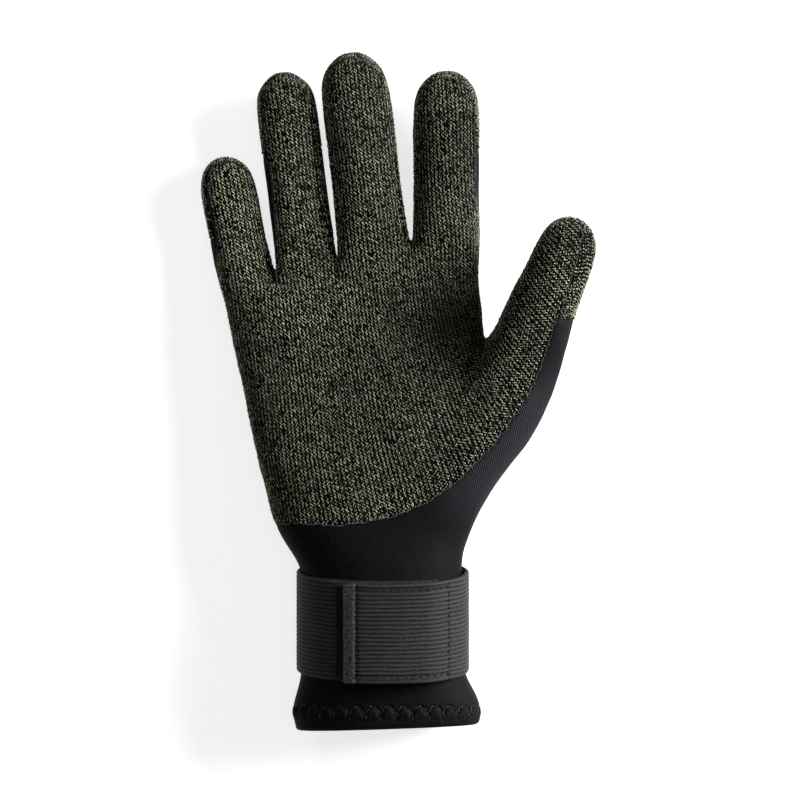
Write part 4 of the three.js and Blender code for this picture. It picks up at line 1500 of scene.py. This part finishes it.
seamStitch = {
    "pitch": 1.2,
    "long": 1.75,
    "wide": 0.27,
    "arch": 0.16,
    "slant": 22.0,
    "slantSpread": 16.0,
    "sideSpread": 0.09,
    "sizes": (0.6, 1.25),
    "lift": 0.18,
    "wander": 0.7,
    "wanderLong": 3.5,
}


def stitchesAlong(mesh, loop, seed):
    s = seamStitch
    ends = closedRow(mesh["outer"][loop])
    reach = runLengths(ends)
    count = int(reach[-1] / s["pitch"])
    at = np.arange(count) * reach[-1] / count
    place = interpolated(at, reach, ends)
    normal = unit(interpolated(at, reach, closedRow(mesh["normals"][loop])))
    ahead = unit(np.roll(place, -1, axis=0) - np.roll(place, 1, axis=0))
    rng = np.random.default_rng(seed)
    turn = np.radians(s["slant"] + rng.normal(0, s["slantSpread"], count))
    side = np.cross(normal, ahead)
    wander = [noise.noise(Vector((float(u) / s["wanderLong"], seed, 0.5))) for u in at]
    sideways = s["wander"] * np.array(wander) + rng.normal(0, s["sideSpread"], count)
    place = place + side * sideways[:, None] + normal * s["lift"]
    direction = ahead * np.cos(turn)[:, None] + side * np.sin(turn)[:, None]
    size = rng.uniform(*s["sizes"], count)
    wide = s["wide"] * size
    return grains(place, direction, normal, s["long"] * size, wide, wide, np.full(count, s["arch"]))


def addSeams(name, meshes, thread):
    points, faces, total = [], [], 0
    for seed, mesh in enumerate(meshes):
        for loop in boundaryLoops(mesh["faces"]):
            some, cells = stitchesAlong(mesh, loop, seed)
            points.append(some)
            faces += [tuple(i + total for i in face) for face in cells]
            total += len(some)
    addObject(name, np.vstack(points), faces, thread)


addSeams("palm_seam_stitches", (palmPanel,), seamThread)
addSeams("cap_seam_stitches", capPanels.values(), darkThread)

# Cuff with its folded hem

hem = {
    "low": 5.4,
    "high": 10.8,
    "period": 6.2,
    "roundness": 0.45,
    "groove": 0.6,
    "grooveWide": 0.5,
    "puff": 0.45,
    "puffAbove": 0.6,  # share of it above the arcs
    "puffWide": 0.9,
    "stitch": 1.0,
    "threadWide": 0.2,
    "threadLong": 1.25,  # of a stitch
    "threadArch": 0.1,
    "threadFrom": 2.5,  # height above the surface where the thread starts to show
    "lipAngles": (25, 50, 75, 90),
}


# Rings of points round the cuff, from its edge up to a height
def ringsFromEdge(points, faces, upTo):
    isLow = points[:, 1] < upTo + 3
    some = faces[isLow[faces].all(axis=1)]
    beside = {}
    for face in some.tolist():
        for k, point in enumerate(face):
            beside.setdefault(point, set()).add(face[(k + 1) % 4])
            beside.setdefault(point, set()).add(face[k - 1])
    edges = boundaryLoops(some.tolist())
    edge = min(edges, key=lambda loop: points[loop][:, 1].mean())
    rings = [edge]
    seen = set(edge)
    while points[rings[-1]][:, 1].mean() < upTo - 0.05:
        following = []
        for point in rings[-1]:
            ahead = [p for p in beside[point] if p not in seen]
            following.append(ahead[0])
        seen.update(following)
        rings.append(following)
    return np.array(rings)


# The hem's seam runs in round arcs: its height at a distance round the cuff
def hemArc(distance):
    wave = np.abs(np.sin(distance / hem["period"] * math.pi)) ** hem["roundness"]
    return lerp(hem["low"], hem["high"], wave)


def hemRelief(distance, y):
    arc = hemArc(distance)
    slope = (hemArc(distance + 0.1) - hemArc(distance - 0.1)) / 0.2
    away = (y - arc) / np.hypot(1, slope)
    groove = -hem["groove"] * np.exp(-(away / hem["grooveWide"]) ** 2)
    groove *= smoothstep(y, hem["low"] - 1.5, hem["low"])
    below = smoothstep(y, hem["low"] - 1, hem["low"] + 2) * (away < 0)
    above = (1 - smoothstep(y, hem["high"] - 1, hem["high"] + 1.5)) * (away > 0)
    rise = 1 - np.exp(-(away / hem["puffWide"]) ** 2)
    return groove + hem["puff"] * (below + hem["puffAbove"] * above) * rise


# A ring of the cuff's rolled edge, some way from the outer or the inner face to the wall's middle
def lipRing(edge, inwards, degrees):
    cos, sin = turned(degrees)
    ring = edge + inwards * glove["lip"] * (1 - cos)
    ring[:, 1] -= glove["lip"] * sin
    return ring


def buildCuff():
    rings = ringsFromEdge(finePoints, fineFaces, cuffTop)
    outer = finePoints[rings]
    normals = fineNormals[rings]
    reach = runLengths(closedRow(outer[0]))
    turns = round(reach[-1] / hem["period"])
    distance = reach[:-1] * turns * hem["period"] / reach[-1]
    relief = hemRelief(distance[None, :], outer[:, :, 1])
    relief *= smoothstep(outer[:, :, 2], 0.3, 4.0)  # nothing pushes into the surface below
    shaped = outer + normals * relief[:, :, None]
    # the wall is folded double below the hem
    single = smoothstep(outer[:, :, 1], glove["hem"] - glove["wall"], glove["hem"] + glove["wall"])
    thickness = glove["wall"] * (2 - single)
    inner = outer - normals * thickness[:, :, None]
    inner[:, :, 2] = np.maximum(inner[:, :, 2], floorAt(outer[:, :, 1]) + thickness)
    lip = [lipRing(outer[0], -normals[0], degrees) for degrees in hem["lipAngles"]]
    lip += [lipRing(inner[0], normals[0], degrees) for degrees in hem["lipAngles"][::-1]]
    profile = np.array([*shaped[::-1], *lip, *inner])
    count, around = profile.shape[:2]
    faces = []
    for i in range(count):
        for j in range(around):
            a, b = i * around + j, i * around + (j + 1) % around
            c, d = ((i + 1) % count) * around + (j + 1) % around, ((i + 1) % count) * around + j
            faces.append((a, d, c, b))
    cloth = clothGrid(distance, -runLengths(profile[:, 0])).swapaxes(0, 1).reshape(-1, 3)
    points = profile.reshape(-1, 3)
    addObject("cuff_folded_hem", points, faces, neoprene, ["back_panel"], {"cloth": cloth})
    return shaped, normals, distance


cuffOuter, cuffNormals, cuffDistance = buildCuff()


def addHemThread():
    rng = np.random.default_rng(3)
    around = cuffDistance[-1] + cuffDistance[1]
    fine = np.linspace(0, around, 4000, endpoint=False)
    reach = runLengths(np.stack((fine, hemArc(fine)), axis=1))
    at = np.interp(np.arange(0, reach[-1], hem["stitch"]), reach, fine)
    column = np.searchsorted(cuffDistance, at) % len(cuffDistance)
    row = np.argmin(np.abs(cuffOuter[:, column, 1] - hemArc(at)), axis=0)
    normals = cuffNormals[row, column]
    place = cuffOuter[row, column] + normals * 0.1
    beside = cuffOuter[row, (column + 1) % len(cuffDistance)] - cuffOuter[row, column]
    ahead = unit(np.roll(place, -1, axis=0) - place + beside / 2)
    clear = place[:, 2] > hem["threadFrom"]
    size = rng.uniform(0.8, 1.2, len(at))[clear]
    long, wide = hem["threadLong"] * hem["stitch"] * size, hem["threadWide"] * size
    arch = np.full(len(size), hem["threadArch"])
    points, faces = grains(place[clear], ahead[clear], normals[clear], long, wide, wide, arch)
    addObject("hem_arc_thread", points, faces, hemThread)


addHemThread()
print("cuff ready")

# Elastic strap round the wrist, with its loop and hook patches

wristMiddle = np.array((0.0, glove["cuff"] + glove["strap"] / 2, glove["depth"] / 2 + strapFloor))
wristSteps = 180


def wristReach():
    tree = BVHTree.FromPolygons([Vector(p) for p in skinPoints], skinFaces.tolist())
    reach = np.zeros(wristSteps)
    for j in range(wristSteps):
        cos, sin = turned(360 * j / wristSteps)
        away = Vector((cos, 0, sin))
        for share in np.linspace(-0.5, 0.5, 11):
            start = Vector(wristMiddle) + away * glove["width"]
            start.y += share * glove["strap"] - strapSizes["tilt"] * sin * glove["depth"] * 0.5
            distance = tree.ray_cast(start, -away)[3]
            reach[j] = max(reach[j], glove["width"] - distance)
    kernel = np.exp(-np.linspace(-2, 2, 9) ** 2)
    kernel /= kernel.sum()
    wrapped = np.concatenate((reach[-4:], reach, reach[:4]))
    return np.convolve(wrapped, kernel, "valid")


strapReach = wristReach()
angles = np.radians(np.arange(wristSteps) * 360 / wristSteps)
wristLine = np.stack((strapReach * np.cos(angles), strapReach * np.sin(angles)), axis=1)


def wristPoint(degrees, outwards):
    at = degrees / 360 * wristSteps
    i = np.floor(at).astype(int)
    share = (at - i)[..., None]
    before, start, end, after = (wristLine[(i + k) % wristSteps] for k in (-1, 0, 1, 2))
    ahead = unit(lerp(end - before, after - start, share))
    outward = np.stack((ahead[..., 1], -ahead[..., 0]), axis=-1)
    return lerp(start, end, share) + outward * outwards[..., None], outward


def strapOffset(degrees):
    s = strapSizes
    lift = s["thickness"] + 2 * s["patch"] + 3 * s["layer"]
    return s["layer"] + lift * smoothstep(degrees, s["leaves"], s["lands"])


# Places on the strap's layers, in millimetres: at an angle, across from its middle, and out from the wrist
def strapPlace(degrees, across, outwards):
    p, outward = wristPoint(degrees, outwards)
    y = wristMiddle[1] + across - strapSizes["tilt"] * p[..., 1]
    z = np.maximum(wristMiddle[2] + p[..., 1], 0.02)
    place = np.stack((p[..., 0], y, z), axis=-1)
    normal = np.stack((outward[..., 0], np.zeros_like(y), outward[..., 1]), axis=-1)
    return place, normal


# A face of a band: a row of points for each angle
def strapFace(degrees, across, outwards):
    rows, columns = np.broadcast_arrays(degrees[:, None], across[None, :])
    return strapPlace(rows, columns, np.broadcast_to(outwards, rows.shape))[0]


def lengthAlong(degrees):
    place, _ = strapPlace(degrees, np.zeros(len(degrees)), strapOffset(degrees))
    return runLengths(place)


def closedBand(name, outerFace, innerFace, cloth, material, nodes, ridge=None):
    rows, columns = outerFace.shape[:2]
    insideColumns = innerFace.shape[1]
    section = np.concatenate((outerFace, innerFace[:, ::-1]), axis=1)
    width = columns + insideColumns
    faces = []
    for i in range(rows - 1):
        for k in range(width):
            a, b = i * width + k, i * width + (k + 1) % width
            faces.append((a, b, b + width, a + width))
    faces.append(tuple(range(width))[::-1])
    faces.append(tuple((rows - 1) * width + k for k in range(width)))
    insideCloth = np.repeat(cloth[:, :1], insideColumns, axis=1)
    allCloth = np.concatenate((cloth, insideCloth), axis=1).reshape(-1, 3)
    attributes = {"cloth": allCloth}
    if ridge is not None:
        inside = np.ones((rows, insideColumns))
        attributes["ridge"] = np.concatenate((ridge, inside), axis=1).ravel()
    return addObject(name, section.reshape(-1, 3), faces, material, nodes, attributes)


# Stitching of the strap's end: two rows along its edges and two across it
strapStitch = {
    "pitch": 2.9,
    "long": 1.8,
    "wide": 0.4,
    "lift": 0.2,
    "arch": 0.08,
    "rowInset": 2.75,
    "endInset": 5.1,
    "boxLong": 43.0,
}
elastic = elasticMaterial()


def buildStrap():
    s = strapSizes
    degrees = np.linspace(s["starts"], s["ends"], s["rows"])
    reach = lengthAlong(degrees)
    half = glove["strap"] / 2
    ribs = round(glove["strap"] / s["rib"])
    across = np.linspace(-half, half, ribs * s["columnsInRib"] + 1)
    wave = [[noise.noise(Vector((u / 9, v / 7, 4.0))) for v in across] for u in reach]
    phase = (across + half)[None, :] / (2 * half) * ribs + s["wavy"] * np.array(wave)
    profile = s["ribHeight"] * np.abs(np.sin(phase * math.pi)) ** s["ribRound"]
    toEnd = reach[-1] - reach
    fold = s["foldThick"] * (1 - smoothstep(toEnd, s["foldLong"] - 0.4, s["foldLong"] + 0.3))
    rounded = 1 - np.exp(-toEnd / 0.5)
    ridge = profile * np.where(toEnd < s["foldLong"], s["onFold"], 1)[:, None]
    thickness = (s["thickness"] - s["ribHeight"] + fold)[:, None] * (0.35 + 0.65 * rounded[:, None]) + ridge
    sewn = smoothstep(toEnd, strapStitch["boxLong"] + 0.5, strapStitch["boxLong"] - 0.5)
    row = np.exp(-((np.abs(across) - half + strapStitch["rowInset"]) / s["rowWide"]) ** 2)
    thickness -= s["pinch"] * sewn[:, None] * row[None, :]
    for inset in (strapStitch["endInset"], strapStitch["boxLong"]):
        thickness -= s["pinch"] * np.exp(-((toEnd - inset) / s["endRowWide"]) ** 2)[:, None]
    edgeRound = 1 - 0.5 * np.exp(-(half - np.abs(across)) / s["edgeRound"])
    base = strapOffset(degrees)[:, None]
    outerFace = strapFace(degrees, across, base + thickness * edgeRound[None, :])
    innerFace = strapFace(degrees, np.linspace(-half, half, 5), base)
    cloth = clothGrid(reach, across)
    # painted light and shade of the ribs: their tops painted light, their grooves painted shade, and the
    # pinched rows of stitches a painted shade between
    high = (profile / s["ribHeight"]) ** s["litTopsOnly"]
    high = lerp(high, s["pinchShade"], s["pinchShadeMix"] * sewn[:, None] * row[None, :])
    closedBand("wrist_strap_webbing", outerFace, innerFace, cloth, elastic, ["wrist_strap"], high)
    return degrees, reach


strapDegrees, strapLength = buildStrap()


def addStrapStitches():
    s = strapStitch
    half = glove["strap"] / 2 - s["rowInset"]
    end = strapLength[-1]
    runs = []
    for across in (-half, half):
        for at in np.arange(s["endInset"], s["boxLong"], s["pitch"]):
            runs.append((end - at, across, 1, 0))
    for inset in (s["endInset"], s["boxLong"]):
        for across in np.arange(-half, half + 0.1, s["pitch"]):
            runs.append((end - inset, across, 0, 1))
    runs = np.array(runs)
    degrees = np.interp(runs[:, 0], strapLength, strapDegrees)
    offset = strapOffset(degrees) + strapSizes["thickness"] - strapSizes["pinch"] + s["lift"]
    place, normal = strapPlace(degrees, runs[:, 1], offset)
    ahead, _ = strapPlace(degrees + 0.5, runs[:, 1], strapOffset(degrees + 0.5) + strapSizes["thickness"])
    ahead = unit(ahead - place)
    side = np.cross(normal, ahead)
    direction = ahead * runs[:, 2:3] + side * runs[:, 3:4]
    sizes = [np.full(len(runs), s[key]) for key in ("long", "wide", "wide", "arch")]
    points, faces = grains(place, direction, normal, *sizes)
    addObject("strap_box_stitches", points, faces, darkThread)


addStrapStitches()


def addPatch(name, span, offset, material, nodes):
    s = strapSizes
    half = glove["strap"] / 2 - s["patchMargin"]
    degrees = np.linspace(span[0], span[1], 90)
    across = np.linspace(-half, half, 40)
    outerFace = strapFace(degrees, across, offset + s["patch"])
    innerFace = strapFace(degrees, across, offset)
    cloth = clothGrid(lengthAlong(degrees), across)
    closedBand(name, outerFace, innerFace, cloth, material, nodes)


pile = threadMaterial("loopPile", (0.006, 0.006, 0.006), 0.8)
hookTape = threadMaterial("hookTape", (0.006, 0.006, 0.0065), 0.55)
loopOffset = 2 * strapSizes["layer"] + strapSizes["thickness"]
hookOffset = loopOffset + strapSizes["layer"] + strapSizes["patch"]
addPatch("loop_tape", strapSizes["loopPatch"], loopOffset, pile, ["loop_patch"])
addPatch("hook_tape", strapSizes["hookPatch"], hookOffset, hookTape, ["hook_patch"])

pileSizes = {"from": 126.5, "to": 136.6, "count": 1500, "long": 1.3, "wide": 0.07, "sunk": 0.05}
fuzzSizes = {"count": 1100, "long": 1.5, "wide": 0.06, "sunk": 0.2}


def pileBase(degrees):
    return np.full(len(degrees), loopOffset + strapSizes["patch"] - pileSizes["sunk"])


def foldBase(degrees):
    return strapOffset(degrees) + strapSizes["thickness"] + strapSizes["foldThick"] - fuzzSizes["sunk"]


# Soft loops and loose fibres that stand up between two angles on the strap
def addFuzz(name, sizes, degrees, half, baseAt, material, seed):
    rng = np.random.default_rng(seed)
    count = sizes["count"]
    at = rng.uniform(*degrees, count)
    across = rng.uniform(-half, half, count)
    place, normal = strapPlace(at, across, baseAt(at))
    turn = rng.uniform(0, 2 * math.pi, count)
    side = np.cross(normal, (0, 1.0, 0))
    direction = side * np.cos(turn)[:, None] + np.array((0, 1.0, 0)) * np.sin(turn)[:, None]
    size = rng.uniform(0.6, 1.2, count)
    long, wide = sizes["long"] * size, sizes["wide"] * size
    points, faces = grains(place, direction, normal, long, wide, wide, rng.uniform(0.25, 0.6, count))
    addObject(name, points, faces, material)


def addPileAndFuzz():
    half = glove["strap"] / 2 - strapSizes["patchMargin"] - 0.3
    span = (pileSizes["from"], pileSizes["to"])
    addFuzz("loop_tape_pile", pileSizes, span, half, pileBase, pile, 5)
    half = glove["strap"] / 2 - 0.5
    foldStart = np.interp(strapLength[-1] - strapSizes["foldLong"], strapLength, strapDegrees)
    span = (foldStart, strapSizes["ends"] - 0.5)
    fuzz = threadMaterial("foldFuzz", (0.05, 0.055, 0.055), 0.7)
    addFuzz("strap_fold_fuzz", fuzzSizes, span, half, foldBase, fuzz, 6)


addPileAndFuzz()
print("strap ready")
